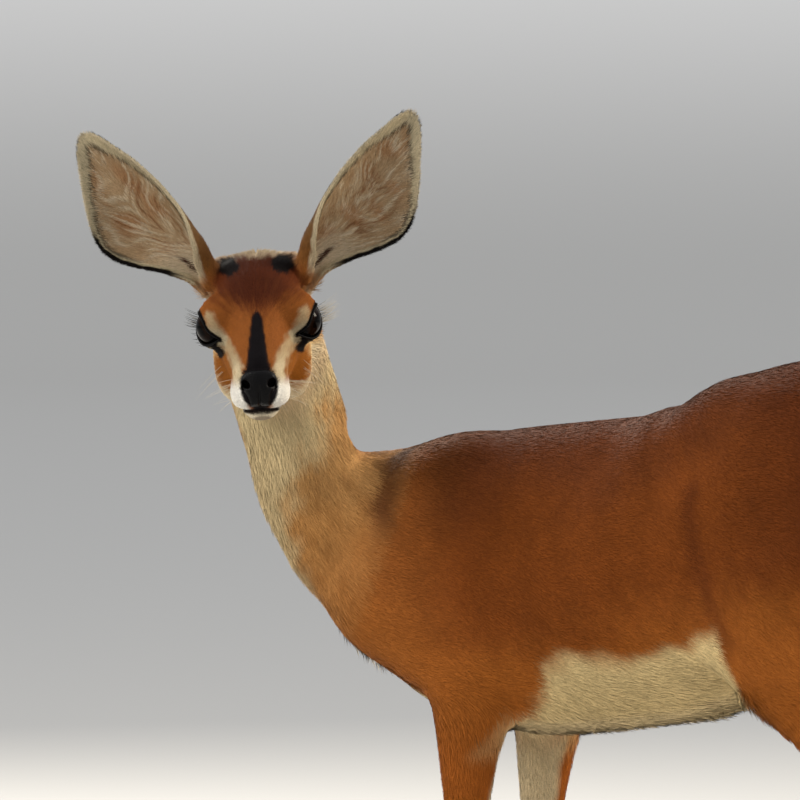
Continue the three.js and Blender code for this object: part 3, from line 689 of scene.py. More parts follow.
def body_colour(at):
    p, x, z, y = at["p"], at["x"], at["z"], np.abs(at["y"])
    back, belly = np.interp(x, *BACK_LINE), np.interp(x, *BELLY_LINE)
    rise = (z - belly) / (back - belly) + 0.03 * wander(p, 90, 1) + 0.02 * wander(p, 22, 2)
    flank = near_path(x, z, FLANK_FOLD) + 1.5 * wander(p, 18, 17)
    edge = np.interp(x, *PALE_EDGE) + 3 * wander(p, 26, 4)
    thigh = ramp(x - np.interp(z, *THIGH_FRONT), -7, 5) * ramp(y, 34, 44)
    pale = ramp(z, edge + 10, edge - 8) * ramp(x, 214, 196) * (1 - thigh)
    seat = y + 1.5 * wander(p, 16, 23) - np.interp(z, *SEAT_HALF)
    return painted(
        "7e4115",
        "62331a", ramp(rise, 0.62, 0.98) * 0.8,
        "a86024", ramp(rise, 0.45, 0.15) * 0.8,
        "b06a30", ramp(x, -120, -215) * 0.7,
        # Darker rump: partly the hair's own deeper red, partly painted shade
        "552509", ramp(x, 80, 190) * ramp(rise, 0.05, 0.6) * 0.75,
        # Painted shade in the fold before the thigh
        "55280f", ramp(flank, 15, 0) * (y > 40) * 0.5,
        # A small dark spot where the flank folds: darker hair, with painted shade of the fold
        "35190c", ramp(np.hypot(x - 96, z - 377), 7, 3) * (y > 40) * 0.7,
        "dfc48d", pale * ramp(x, -150, -120),
        "4a2c20", ramp(np.hypot(x - 56, y - 20), 9, 5) * (z < 345) * 0.9,
        "ece2cc", ramp(seat, 4, -5) * ramp(x, 150, 175) * ramp(z, 524, 512),
        "e0c795", ramp(y, 34, 20) * ramp(z, 350, 330),
    )


def leg_colour(at):
    x, z = at["x"], at["z"]
    fore = x < BETWEEN_LEGS
    middle = np.where(fore, FORE_Y - 3.0, HIND_Y - 1.0)
    inner = ramp(np.abs(at["y"]) - middle + 1.6 * wander(at["p"], 30, 5), 1, -7)
    front = fore * ramp(x, FORE_X - 4, FORE_X - 12)
    return painted(
        "a1581f",
        "b87a45", ramp(z, 200, 110),
        "8b5a34", ramp(z, 75, 40) * 0.8,
        "cdb994", inner * ramp(z, 120, 200),
        "c49a68", inner * ramp(z, 200, 120) * 0.7,
        "8a4c24", front * ramp(z, 230, 150) * ramp(z, 60, 100) * 0.5,
    )


def neck_colour(at):
    p, z, away = at["p"], at["z"], at["from_throat"]
    streak = wander(p * (1, 1, 0.16), 9, 6)
    width = np.interp(z, (400, 450, 500, 560), (44, 48, 58, 70)) + 8 * wander(p, 24, 7) + 6 * streak
    return painted(
        "c4935a",
        "8a5a2e", 0.3 * ramp(streak, 0.1, 1.0) * ramp(away, 30, 70),
        "ac6f34", ramp(z, 500, 440) * 0.5,
        "8a5228", ramp(away, 105, 150) * 0.8,
        "dcc697", ramp(away, width + 24, width - 26) * np.interp(z, (400, 470, 530), (0.7, 0.8, 0.95)),
        "dcc697", ramp(z + 3 * streak, 528, 560) * ramp(away, 165, 120) * 0.85,
    )


# Marks on the face, in its plane: half width over height for the blaze, and lines for the others
BLAZE = ((-30, -24, -21, -16.6, -2.5, 10, 15, 17.5), (13, 10, 8, 7, 5.4, 3.9, 2.4, 0.2))
STRIPE = ((32, 15), (28.5, 6), (22.5, -3), (17.5, -11), (14, -20), (13.5, -32))
GLAND_SLIT = ((32, -1), (29, -5.5), (26.5, -9.5))


def face_colour(at):
    p, hx, hz, v, q, gap = (at[k] for k in ("p", "hx", "hz", "side", "face_high", "lid_gap"))
    ragged = wander(p, 6, 8)
    rays = wander(np.stack([np.arctan2(at["hy"], q - 2) * 46, q * 0.1, 0 * q], 1), 7, 18)
    # The dark forehead comes down in a point to the blaze
    brow = ramp(q - 0.5 * v + 1.5 * ragged + 3 * rays, 3, 25) * ramp(v, 38, 29)
    cheek = np.hypot((v - 24 - 0.15 * (q + 21)) / 9.5, (q + 20) / 14) + 0.1 * ragged
    stripe = near_path(v, q, STRIPE) + 0.7 * ragged
    ring = ramp(gap + 0.8 * ragged, 8.5, 4.8) * (gap < 90)
    mouth = hz - mouth_line(hx)
    lip = ramp(np.abs(v - 15.5) + 0.6 * ragged, 10, 5.5) * ramp(q, -26, -36)
    blaze = np.interp(q, *BLAZE) + 0.35 * ragged
    slit = near_path(v, q, GLAND_SLIT) + 0.3 * ragged
    horn = np.hypot((v - 18.5) / 7.4, (q - 49) / 6.2) + 0.14 * ragged
    return painted(
        "a66c38",
        "8f5222", ramp(hx, 30, 60),
        "8c5228", ramp(hx, 22, -6) * 0.8,
        "5c2b12", brow * ramp(hx, -4, 20),
        "84491f", ramp(rays, 0.2, 0.9) * brow * ramp(q, 46, 30) * 0.4,
        "431d0e", brow * ramp(v, 27, 10) * ramp(q, 62, 48) * ramp(q, 14, 30) * 0.75,
        "a8642a", ramp(v, 26, 33) * ramp(q, 34, 46) * 0.8,
        # Painted highlight on the top of the crown, for light caught from behind
        "dcc49c", ramp(q + ragged + 0.6 * rays, 52, 59) * ramp(hx, -6, 6) * 0.8,
        # Pale jaw and throat, and the cheek between them and the stripe
        "d9b984", ramp(v, 20, 30) * ramp(q, 4, -8) * ramp(hx, 78, 60) * 0.9,
        "e0cca6", ramp(hz + 0.22 * (hx - 60) + 1.2 * ragged, -6, -15),
        "8f531a", ramp(cheek, 1.4, 0.6) * (hx > 40),
        "b39b76", ramp(stripe, 6.0, 1.0) * ramp(hx, 40, 55) * 0.9,
        "d8c6a2", ramp(stripe, 5, 1) * ramp(q, -8, -24) * (hx > 50) * 0.8,
        "ae9f82", ring * ramp(at["eye_y"] + 0.3 * at["eye_x"], -9, -3),
        # Lips and chin
        "f0ebe0", lip * ramp(hx, 104, 112) * (hz > -14),
        "e6d9bd", ramp(mouth, -1, -3) * ramp(hx, 96, 106),
        # The dark line between the lips: their own black skin, with painted shade in the groove between them
        "1a1310", ramp(np.abs(mouth + 0.8), 3.2, 1.6) * ramp(hx, 112, 124) * ramp(v, 14.5, 10.5),
        "6e5c49", ramp(np.hypot(v / 7, (q + 55.5) / 3.2), 1.2, 0.7) * (hx > 118) * 0.75,
        # Blaze, the skin round the nose, the gland's slit, lid rims and the bare horn sites
        "120e10", ramp(v, blaze + 0.9, blaze - 0.9) * (q < 18.5) * (q > -34) * (hx > 50),
        "120e10", ramp(np.hypot(v / NOSE_WIDE, (q + 35) / 14), 1.04, 0.94) * (hx > 128),
        "120d0c", ramp(slit, 3.8, 2.0) * (hx > 60),
        "0c0908", ramp(gap, 2.8, 1.8),
        "120d0c", ramp(horn, 1.25, 0.9) * (hx < 52),
        "cfbb98", temple_share(at) * 0.7,
    )


def ear_colour(at):
    p, share, a, wide = at["p"], at["share"], at["turned"], np.abs(at["turned"])
    half = np.interp(share, EAR_SHARE, EAR_SHAPE["half"])
    edge = np.minimum((1 - wide) * half, (1 - share) * EAR_LENGTH) + 0.35 * wander(p, 9, 16)
    back = painted("7c5c3a", "8c5a2c", ramp(share, 0.3, 0.05), "54402c", ramp(share, 0.55, 1.0) * 0.6)
    # Hairs run from the middle of the cup out to both edges and towards the tip
    course = np.stack([share * 90 - wide * 44 + 5 * wander(p, 24, 22), a * 5, share * 0], 1)
    feather = wander(course, 3.4, 9) + 0.5 * wander(p, 12, 19)
    inset = edge - np.interp(share, (0.2, 0.5, 0.73, 0.85), (3.6, 4.6, 7.0, 10))
    canal = np.hypot((share - 0.13) / 0.1, (a - 0.46 + 0.5 * (share - 0.13)) / 0.07)
    inside = painted(
        "b89a75",
        "a8754b", ramp(wander(p, 26, 21), -0.2, 0.8) * ramp(wide, 0.7, 0.3) * 0.6,
        "dccbae", ramp(feather, 0.1, 1.1) * 0.7,
        "83502f", ramp(feather, -0.4, -1.2) * ramp(wide, 0.75, 0.35) * ramp(share, 0.8, 0.55) * 0.7,
        "dcccae", ramp(share, 0.36, 0.18) * ramp(a, -0.1, 0.3) * 0.7,
        "cfbf9c", ramp(inset, 1, -0.5),
        "33261c", ramp(np.abs(inset), 2.1, 0.9) * ramp(share, 0.25, 0.45) * ramp(feather, -1.4, 0.2) * 0.8,
        # Painted shade where the ear's opening lies, near the root of the cup
        "3a130c", ramp(canal, 1.15, 0.6),
    )
    return painted(
        np.where(at["cup"][:, None], inside, back),
        BLACK, ramp(edge, 2.4, 1.2) * (a > 0) * ramp(share, 0.1, 0.2) * ramp(share, 0.66, 0.56),
        "dccaa6", ramp(edge, 2.6, 1.0) * np.maximum(ramp(share, 0.62, 0.72), a < 0) * 0.9,
    )


def tail_colour(at):
    under = ramp(at["x"], TRUNK_REAR + 14, TRUNK_REAR + 8) * ramp(at["z"], 516, 504)
    return painted("8c4a22", "eee4d0", under)


def marks(at):
    """The animal's colours, which the skin and the coat share, with painted shade in some folds and hollows
    and a painted highlight on the crown.
    """
    p, x, y, z = (at[k] for k in "pxyz")
    c = mix(body_colour(at), leg_colour(at), ramp(z, 330, 285) * (x > BREAST_FRONT))
    c = mix(c, neck_colour(at), at["neck"])
    fold = np.abs(x + 190 + 0.12 * (z - 440)) + 3 * wander(p, 30, 3)
    reach = ramp(z, 432, 462) * ramp(z, 520, 498) * ramp(np.abs(y), 14, 26)
    breast = np.hypot((y + 10) / 32, (z - 382) / 26) + 0.1 * wander(p, 14, 15)
    c = painted(
        c,
        # Painted shade in the fold where the bent neck meets the shoulder
        "4e2812", ramp(fold, 17, 1) * reach * (at["head"] < 0.5) * 0.8,
        "ecdfc4", ramp(breast, 1.6, 0.6) * ramp(x, -190, -222),
    )
    c = mix(c, face_colour(at), at["head"])
    c = mix(c, ear_colour(at), at["ear"])
    return mix(c, tail_colour(at), tail_share(at) * ramp(np.abs(y), 19, 15))


# The lie of the coat, and how long, wide and raised its tufts are
def lie(at, n):
    p, x, z, hx, hz = (at[k] for k in ("p", "x", "z", "hx", "hz"))
    side, one = np.sign(at["hy"]), np.ones(len(p))
    way = np.stack([one, 0 * x, -0.28 - 0.25 * ramp(x, 120, 230) - 1.2 * ramp(x, -190, -240)], 1)
    way = mix(way, (0.36, 0, -3.0), ramp(z, 345, 290) * (np.abs(n[:, 2]) < 0.8) * (x > BREAST_FRONT) * 0.9)
    way = mix(way, at["neck_way"] * 1.2, at["neck"])
    up = ramp(hz, 14, 34) * ramp(hx, 118, 70)
    low = ramp(hz, 8, -6)
    out = side * (0.12 + 0.5 * up * np.minimum(at["side"] / 20, 1))
    local = np.stack([-1 + 0.35 * up, out, 0.1 + 0.5 * up - 0.45 * low], 1)
    way = mix(way, local @ HEAD_TURN.T, at["head"])
    across, _, along = EAR_TURN
    fan = np.where(at["cup"], 2.4 * ramp(at["share"], 1.05, 0.6), 0.35) * at["turned"]
    leaf = (along[None] + across[None] * fan[:, None]) * np.stack([one, side, one], 1)
    way = mix(way, leaf @ HEAD_TURN.T, at["ear"])
    way = mix(way, (0.25, 0, -1.0), tail_share(at))
    bend = 0.09 * wander(p, 60, 11) + 0.06 * wander(p, 14, 12)
    way = unit(way - (way * n).sum(1, keepdims=True) * n)
    return unit(way + np.cross(n, way) * bend[:, None])


def cut(at):
    """Length, width and rise in degrees of the tuft at each place."""
    x, z, hx, hz, head, ear, neck = (at[k] for k in ("x", "z", "hx", "hz", "head", "ear", "neck"))
    edge, belly = z - np.interp(x, *PALE_EDGE), z - np.interp(x, *BELLY_LINE)
    breast = np.hypot((at["y"] + 10) / 30, (z - 380) / 24)
    wide = np.abs(at["turned"])
    size = np.tile((8.5, 0.5, 4.5), (len(x), 1))
    for tuft, share in (
        # Trunk and legs
        ((9.5, 0.5, 5), ramp(edge, 6, -12) * ramp(x, -140, -110)),
        ((12, 0.6, 30), ramp(belly, 8, 1) * ramp(x, -130, -90) * ramp(x, 150, 110)),
        ((5.5, 0.45, 9), ramp(z, 330, 280) * (x > BREAST_FRONT)),
        ((3.6, 0.42, 10), ramp(z, 190, 120)),
        ((11, 0.55, 14), ramp(x, 205, 235) * ramp(z, 330, 380)),
        # Neck and breast
        ((8, 0.42, 7), neck),
        ((9.5, 0.44, 10), neck * ramp(at["from_throat"], 60, 30)),
        ((19, 0.8, 40), ramp(breast, 1.4, 0.6) * ramp(x, -195, -222)),
        # Head: all of it, muzzle, lips, lids, crown, nape and temple
        ((4.2, 0.34, 11), head),
        ((2.6, 0.28, 10), head * ramp(hx, 62, 96)),
        ((1.9, 0.26, 13), head * ramp(hx, 112, 128)),
        ((1.8, 0.26, 10), head * ramp(at["lid_gap"], 7, 3)),
        ((6.0, 0.36, 30), head * ramp(at["face_high"], 54, 60) * ramp(hx, 48, 34)),
        ((8.0, 0.4, 14), head * ramp(hx, 40, 18) * ramp(hz, 16, 2)),
        ((9, 0.45, 24), head * temple_share(at)),
        # Ears: back, cup and rim, and the tail
        ((4.6, 0.36, 11), ear),
        ((5.4, 0.28, 12), ear * at["cup"] * ramp(wide, 0.9, 0.7)),
        ((2.4, 0.3, 16), ear * ramp(wide, 0.9, 0.97)),
        ((13, 0.6, 16), tail_share(at)),
    ):
        size = mix(size, tuft, share)
    return size


def scatter(points, faces, normals, dense, count, draw):
    """Places spread over the faces by their share of the coat, with the skin's normal at each."""
    tri = np.stack([faces[:, [0, 1, 2]], faces[:, [0, 2, 3]]], 1).reshape(-1, 3)
    a, b, c = (points[tri[:, k]] for k in range(3))
    area = np.linalg.norm(np.cross(b - a, c - a), axis=1) / 2
    total = np.cumsum(area * np.repeat(dense, 2))
    aim = (np.arange(count) + draw.random(count)) / count * total[-1]
    at = np.searchsorted(total, aim).clip(0, len(tri) - 1)
    u, v = draw.random(count), draw.random(count)
    u, v = np.where(u + v > 1, 1 - u, u)[:, None], np.where(u + v > 1, 1 - v, v)[:, None]
    place = a[at] * (1 - u - v) + b[at] * u + c[at] * v
    n = normals[tri[at]]
    return place, unit(n[:, 0] * (1 - u - v) + n[:, 1] * u + n[:, 2] * v)


def unwrap(key, at):
    """Where each root lies on a flat pattern of its own part of the skin."""
    x, y, z = at["x"], at["y"], at["z"]
    if key == "head":
        flat = (at["hx"] + 40) / 200, np.arctan2(at["hy"], at["hz"] - 12) / (2 * math.pi) + 0.5
    elif key.startswith("ear"):
        tile = (at["hy"] > 0) * 2 + at["cup"]
        flat = (tile + 0.04 + 0.92 * at["share"]) / 4, at["turned"].clip(-1.1, 1.1) * 0.44 + 0.5
    elif key == "neck":
        flat = (z - 400) / 260, np.arctan2(y + 60, x + 250) / (2 * math.pi) + 0.5
    elif key.startswith("leg"):
        hind_line = np.array(HINDLEG[::-1])[:, [2, 0]].T
        middle = np.interp(z, *hind_line) if key == "leg_hind" else FORE_X
        round_leg = np.arctan2(np.abs(y) - 44, x - middle) / (2 * math.pi) + 0.5
        flat = ((y > 0) + 0.02 + 0.96 * round_leg) / 2, z / 340
    else:
        flat = (x + 270) / 560, np.arctan2(y, z - 430) / (2 * math.pi) + 0.5
    return np.stack(flat, 1).clip(0, 1) * 0.98 + 0.01


# A tuft's five corners: two at the root, two halfway and the tip
TUFT_PATCH = np.array([(-1, -1), (-1, 1), (0, -1), (0, 1), (1, 0)]) * 0.0015
TUFT_FACES = np.array([(0, 1, 3), (0, 3, 2), (2, 3, 4)])
# Painted shade down each tuft: darker at the root, where the hairs shade one another, and a painted highlight
# at the tip
TUFT_PAINTED_SHADE = np.array((0.88, 0.88, 0.98, 0.98, 1.05))


def grow(name, key, at, p, n, draw):
    """Joins one blade-like tuft at each root into a single mesh."""
    count = len(p)
    size = cut(at)
    colour = marks(at)
    way = lie(at, n)
    length = size[:, 0] * draw.uniform(0.72, 1.22, count)
    width = size[:, 1] * draw.uniform(0.75, 1.25, count)
    rise = np.radians(size[:, 2] * draw.uniform(0.45, 1.6, count))
    way = unit(way + np.cross(n, way) * draw.normal(0, 0.08, count)[:, None])
    tip_way = unit(way + np.cross(n, way) * draw.normal(0, 0.1, count)[:, None])
    # Tufts that lie flat show their broad side, and those that stand turn any way
    stands = ramp(size[:, 2], 16, 34)[:, None]
    roll = draw.normal(0, 0.2, count)[:, None] + draw.uniform(-1.5, 1.5, count)[:, None] * stands
    across = np.cross(n, way) * np.cos(roll) + n * np.sin(roll)
    on, up = (length * np.cos(rise))[:, None], (length * np.sin(rise))[:, None]
    wide = across * width[:, None]
    root = p - n * 0.5
    middle = p + way * on * 0.5 + n * up * 0.5
    tip = p + (way * 0.55 + tip_way * 0.45) * on + n * up * 0.78
    corners = [root - wide * 0.4, root + wide * 0.4, middle - wide * 0.5, middle + wide * 0.5, tip]
    faces = (np.arange(count)[:, None, None] * 5 + TUFT_FACES).reshape(-1, 3)
    obj = mesh_object(name, np.stack(corners, 1).reshape(-1, 3), faces)
    # Flat hairs shade with the skin, so that the coat looks sleek, and those that stand are lit
    # from the side, as light comes through them
    hang = np.stack([-0.3 + 0 * at["y"], 1.2 * np.sign(at["y"]), 0.5 - np.minimum(n[:, 2], 0)], 1)
    tilt = unit(n - way * 0.12 + across * draw.normal(0, 0.1, count)[:, None] + hang * stands)
    facing = obj.data.attributes.new("facing", "FLOAT_VECTOR", "POINT")
    facing.data.foreach_set("vector", np.repeat(tilt, 5, 0).astype(np.float32).ravel())
    vary = draw.normal(0, 0.08, count) + 0.04 * wander(p, 16, 13) + 0.05 * wander(p, 45, 14)
    vary = vary - 0.28 * at["ear"] * at["cup"] * (draw.random(count) < 0.12)
    # Each tuft's colour varies at random, and carries the painted shade from root to tip
    light = (1 + vary)[:, None] * TUFT_PAINTED_SHADE
    paint_points(obj, (colour[:, None] * light[:, :, None]).clip(0, 1).reshape(-1, 3))
    flat = unwrap(key, at)[:, None] + TUFT_PATCH
    layer = obj.data.uv_layers.new(name="OFBake")
    layer.data.foreach_set("uv", flat[:, TUFT_FACES].astype(np.float32).ravel())
    return obj


def strands(name, hairs, radius):
    """Joins long tapering hairs into a single mesh, each a root, way, length, droop and colour."""
    sides, steps = 3, 5
    last, size, j = (steps - 1) * sides, steps * sides + 1, np.arange(sides)
    tip = np.stack([last + j, last + np.roll(j, -1), 0 * j + last + sides], 1)
    faces = np.concatenate([halved(between_rings(steps, sides)), tip, [(0, 2, 1)]])
    faces = (np.arange(len(hairs))[:, None, None] * size + faces).reshape(-1, 3)
    points = []
    for root, way, length, droop, _ in hairs:
        way, droop = unit(way), np.asarray(droop, float)
        for t in np.arange(steps) / steps:
            along = unit(way + 2 * droop * t)
            side = unit(np.cross(along, (0.3, 0.2, 1)))
            for a in 2 * math.pi * j / sides:
                off = (side * math.cos(a) + np.cross(along, side) * math.sin(a)) * radius * (1 - 0.8 * t)
                points.append(root + (way * t + droop * t * t) * length + off)
        points.append(root + (way + droop) * length)
    obj = mesh_object(name, points, faces)
    paint_points(obj, np.repeat([hair[-1] for hair in hairs], size, 0))
    return obj


# Eyes, lids and lashes
def on_eye(side, p):
    """Places in an eye's frame, in the animal's frame."""
    head = np.asarray(p, float) @ EYE_TURN + EYE_AT
    return from_head(head * (1, side, 1))


def eyeball(name, side):
    rings, around = 48, 64
    turns = np.linspace(0, math.pi, rings + 1), np.linspace(0, 2 * math.pi, around, endpoint=False)
    polar, a = (grid.ravel() for grid in np.meshgrid(*turns, indexing="ij"))
    way = np.stack([np.sin(polar) * np.cos(a), np.sin(polar) * np.sin(a), np.cos(polar)], 1)
    cornea = 0.55 * np.exp(-((polar / 0.62) ** 2))
    x, y = way[:, 0] * EYE_RADIUS, way[:, 1] * EYE_RADIUS
    zone = np.searchsorted((1, 1.15), np.hypot(x / 6.4, y / 3.6), side="right")
    fleck = 0.85 + 0.15 * np.sin(a * 23 + 3 * np.sin(a * 7))
    iris = np.array([tone("040303"), tone("120905"), tone("180c06")])[zone] * fleck[:, None]
    in_iris = (np.hypot(x, y) < 10.6) & (way[:, 2] > 0)
    faces = between_rings(rings + 1, around)
    points = on_eye(side, way * (EYE_RADIUS - 0.05 + cornea)[:, None])
    obj = mesh_object(name, points, faces if side > 0 else faces[:, ::-1])
    paint_points(obj, np.where(in_iris[:, None], iris, tone("080605")))
    return obj


def lid_place(x, y, out):
    """Where the lids' edge lies on the skin, in the eye's frame."""
    z = np.arange(-6, 19, 0.1)
    local = np.stack([0 * z + x, 0 * z + y, z], 1) @ EYE_TURN + EYE_AT
    bulge = np.sqrt(x * x + y * y + z * z) - (EYE_RADIUS + LID_THICK)
    inside = np.nonzero(fillet(face(*local.T) + COAT_DEPTH["head"], bulge, 5.0) < 0)[0]
    return np.array((x, y, (z[inside[-1]] if len(inside) else 0) + out))


def lid_rim(name, side):
    """A closed tube along the edge of the lids, thicker at both corners of the eye."""
    sides = 10
    outline = np.concatenate([LID_TOP, LID_LOW[::-1][1:-1]])[::2]
    path = np.array([lid_place(x, y, -0.55) for x, y in outline])
    corner = np.minimum(np.abs(path[:, 0] + LONG), np.abs(path[:, 0] - 1.1 * LONG))
    radius = 0.6 + 0.3 * np.clip(corner / 6, 0, 1)
    along = unit(np.roll(path, -1, 0) - np.roll(path, 1, 0))
    across = unit(np.cross(along, unit(path - path.mean(0) * (1, 1, 0))))
    out = np.cross(across, along)
    a = np.linspace(0, 2 * math.pi, sides, endpoint=False)[:, None]
    ring = out[:, None] * np.cos(a) + across[:, None] * np.sin(a)
    points = (path[:, None] + ring * radius[:, None, None]).reshape(-1, 3)
    faces = between_rings(len(path), sides, closed=True)
    return mesh_object(name, on_eye(side, points), faces if side < 0 else faces[:, ::-1])


# Rows of lashes: how many, from and to along the lid, how far above its edge, length and colour
LASHES = {
    "right": (
        (12, -12, 8, 0.4, 5.5, BLACK), (22, -15.4, -10, 0.8, 10, BLACK), (6, -15.5, -11, 3.0, 9, "a8977a"),
    ),
    "left": (
        (12, -12, 8, 0.4, 5.5, BLACK), (5, -15.4, -11, 0.8, 7, BLACK), (34, -15.6, -9, 2.6, 16, "d6cab2"),
    ),
}
LASH_DROOP = (-0.2, -0.15, 0)


def lashes(name, side, draw):
    """Dark lashes that fan out at the back of the upper lid, with paler brow hairs behind them."""

    def turned(way):
        return way @ EYE_TURN * (1, side, 1) @ HEAD_TURN.T

    hairs = []
    for count, first, last, out, long, code in LASHES[name]:
        for x in np.linspace(first, last, count):
            x = x + draw.uniform(-0.4, 0.4)
            share = (x + 15.5) / 24.5
            root = on_eye(side, lid_place(x, np.interp(x, *LID_TOP.T) + out, -0.3))
            fan = (-0.85 + 0.9 * share + draw.normal(0, 0.1), 0.3 + 0.3 * share + draw.normal(0, 0.1), 1.0)
            length = long * (1 - 0.4 * share) * draw.uniform(0.7, 1.1)
            hairs.append((root, turned(np.array(fan)), length, turned(np.array(LASH_DROOP)), tone(code)))
    return strands("lashes_" + name, hairs, 0.17)


# Whiskers: their roots' hx and hz in the head's frame, their way, length and how many
WHISKERS = (
    (118, 3, (-0.5, 1.0, -0.25), 26, 5), (122, -3, (-0.35, 1.0, -0.5), 20, 4),
    (108, -2, (-0.7, 1.0, -0.5), 22, 3), (62, -4, (-0.3, 1.0, -0.9), 30, 3),
    (104, -11, (-0.2, 0.7, -1.0), 15, 4),
)
WHISKER_DROOP = (0, 0, -0.12)


def whiskers(draw):
    hairs = []
    for side in (1, -1):
        for hx, hz, way, length, count in WHISKERS:
            for _ in range(count):
                x, z = hx + draw.normal(0, 3), hz + draw.normal(0, 2)
                y = np.arange(3, 60, 0.2)
                d = face(0 * y + x, y * side, 0 * y + z) + COAT_DEPTH["head"]
                root = from_head((x, (max(y[d < 0], default=3.0) - 0.3) * side, z))
                turned = (np.array(way) + draw.normal(0, 0.12, 3)) * (1, side, 1) @ HEAD_TURN.T
                hairs.append((root, turned, length * draw.uniform(0.6, 1.1), WHISKER_DROOP, tone("d9cdb4")))
    return strands("whiskers", hairs, 0.13)


# Nose pad
PAD_HALF = ((-12.5, -9, -5, -1, 3, 7, 9.5, 11.2, 12), (6.6, 7.0, 8.2, 10.6, 12.1, 12.2, 11.0, 8.6, 4.6))
PAD_STEP, PAD_PROUD, PAD_BACK = 0.62, 2.0, 118


def nose_pad():
    clay = Clay([np.arange(low, high, PAD_STEP) for low, high in ((110, 156), (-18, 18), (-16, 28))])
    x, y, z = np.broadcast_arrays(*(line.reshape(s) for line, s in zip(clay.lines, AXES)))
    nx, ny, nz = nose_frame(x, y, z)
    cleft = 1.2 * np.exp(-((ny / 0.9) ** 2)) * np.clip((2 - nz) / 4, 0, 1) * (nx > 0)
    wing = 1.1 * np.exp(-(((np.abs(ny) - 10.8) / 2.6) ** 2) - (((nz - 6.5) / 3.4) ** 2))
    d = face(x, y, z) + COAT_DEPTH["head"] - PAD_PROUD + cleft - wing
    outline = (np.abs(ny) - np.interp(nz, *PAD_HALF)) * 0.85
    outline = np.maximum(outline, np.abs(nz) - 12)
    d = np.maximum(-fillet(-d, -outline, 2.6), -nostrils(x, y, z))
    clay.d = np.maximum(d, PAD_BACK - x).astype(np.float32)
    points, faces = clay.skin()
    return mesh_object("nose_pad", from_head(relax(points, faces, 2, 0.5)), faces)


# Hooves
CLAW = {
    "length": 40.0, "width": 13.4, "front": 27.0, "heel": 17.0, "between": 1.4, "slope": 0.5, "ahead": 25.0,
}


def claw(crown, side, place):
    """One claw as rings from its sole up, with the sole's edge and the crown rounded."""
    sides, levels = 44, 18
    toe, outward = crown[0] - CLAW["ahead"], side * place
    inner = crown[1] + outward * CLAW["between"] / 2
    points = []
    for i in range(levels + 1):
        rise = i / levels
        tuck = 0.9 * max(1 - rise * levels / 2.2, 0) ** 2 + 1.6 * max(rise - 0.86, 0) / 0.14
        ridge = 0.14 * math.sin(rise * 34)
        for j in range(sides):
            a = 2 * math.pi * j / sides
            along = (1 - math.cos(a)) / 2
            z = rise * (CLAW["front"] + (CLAW["heel"] - CLAW["front"]) * along)
            broad = math.sqrt(max(1 - (1 - along) ** 2, 0)) * math.sqrt(min(1, (1 - along) * 5))
            if a < math.pi:
                across = (CLAW["width"] + ridge - tuck) * broad * (1 - 0.1 * rise)
            else:
                across = 0.7 * (1 - broad) + tuck * 0.3
            start = z * CLAW["slope"] + tuck * 0.6
            end = CLAW["length"] - z * 0.12 - tuck * 0.6
            points.append((toe + start + (end - start) * along, inner + outward * across, z))
    points = np.array(points)
    n, top = len(points), levels * sides
    j, beside = np.arange(sides), np.roll(np.arange(sides), -1)
    sole = np.stack([0 * j + n, beside, j], 1)
    crown_cap = np.stack([0 * j + n + 1, top + j, top + beside], 1)
    points = np.concatenate([points, [points[:sides].mean(0), points[-sides:].mean(0)]])
    faces = np.concatenate([halved(between_rings(levels + 1, sides)), sole, crown_cap])
    return points, faces if outward < 0 else faces[:, ::-1]


def hooves():
    points, faces, first = [], [], 0
    for leg, side, place in itertools.product((FORELEG, HINDLEG), (-1, 1), (-1, 1)):
        p, f = claw(on_side(leg, side)[-1][:3], side, place)
        points.append(p)
        faces.append(f + first)
        first += len(p)
    return mesh_object("hooves", np.concatenate(points), np.concatenate(faces))


# Materials
def feed(tree, node, inputs):
    """Sets a node's inputs, each to a value or to what another node gives."""
    for name, value in inputs.items():
        if isinstance(value, bpy.types.NodeSocket):
            tree.links.new(value, node.inputs[name])
        else:
            node.inputs[name].default_value = value


def add_node(tree, kind, output, inputs=(), **settings):
    """Adds a shader node and returns one of its outputs."""
    node = tree.nodes.new("ShaderNode" + kind)
    for name, value in settings.items():
        setattr(node, name, value)
    feed(tree, node, dict(inputs))
    return node.outputs[output]


def new_material(name, inputs):
    material = bpy.data.materials.new(name)
    material.use_nodes = True
    tree = material.node_tree
    shader = tree.nodes["Principled BSDF"]
    feed(tree, shader, inputs)
    return material, tree, shader


def hair_grain():
    """Fine light and dark hairs over a colour, with their height."""
    group = bpy.data.node_groups.new("hair_grain", "ShaderNodeTree")
    for name, way, kind in (
        ("Color", "INPUT", "Color"), ("Scale", "INPUT", "Float"), ("Contrast", "INPUT", "Float"),
        ("Color", "OUTPUT", "Color"), ("Height", "OUTPUT", "Float"),
    ):
        group.interface.new_socket(name, in_out=way, socket_type="NodeSocket" + kind)
    given, end = group.nodes.new("NodeGroupInput").outputs, group.nodes.new("NodeGroupOutput")
    place = add_node(group, "TexCoord", "Object")
    noise = add_node(group, "TexNoise", "Fac", {"Detail": 3, "Vector": place, "Scale": given["Scale"]})
    dark, light = (
        add_node(group, "Math", 0, {0: 1, 1: given["Contrast"]}, operation=operation)
        for operation in ("SUBTRACT", "ADD")
    )
    span = {"Value": noise, "From Min": 0.3, "From Max": 0.7, "To Min": dark, "To Max": light}
    share = add_node(group, "MapRange", "Result", span)
    colour = add_node(group, "VectorMath", "Vector", {0: given["Color"], "Scale": share}, operation="SCALE")
    feed(group, end, {"Color": colour, "Height": noise})
    return group


GRAIN = hair_grain()


def painted_colour(tree):
    return add_node(tree, "Attribute", "Color", attribute_name="coat")


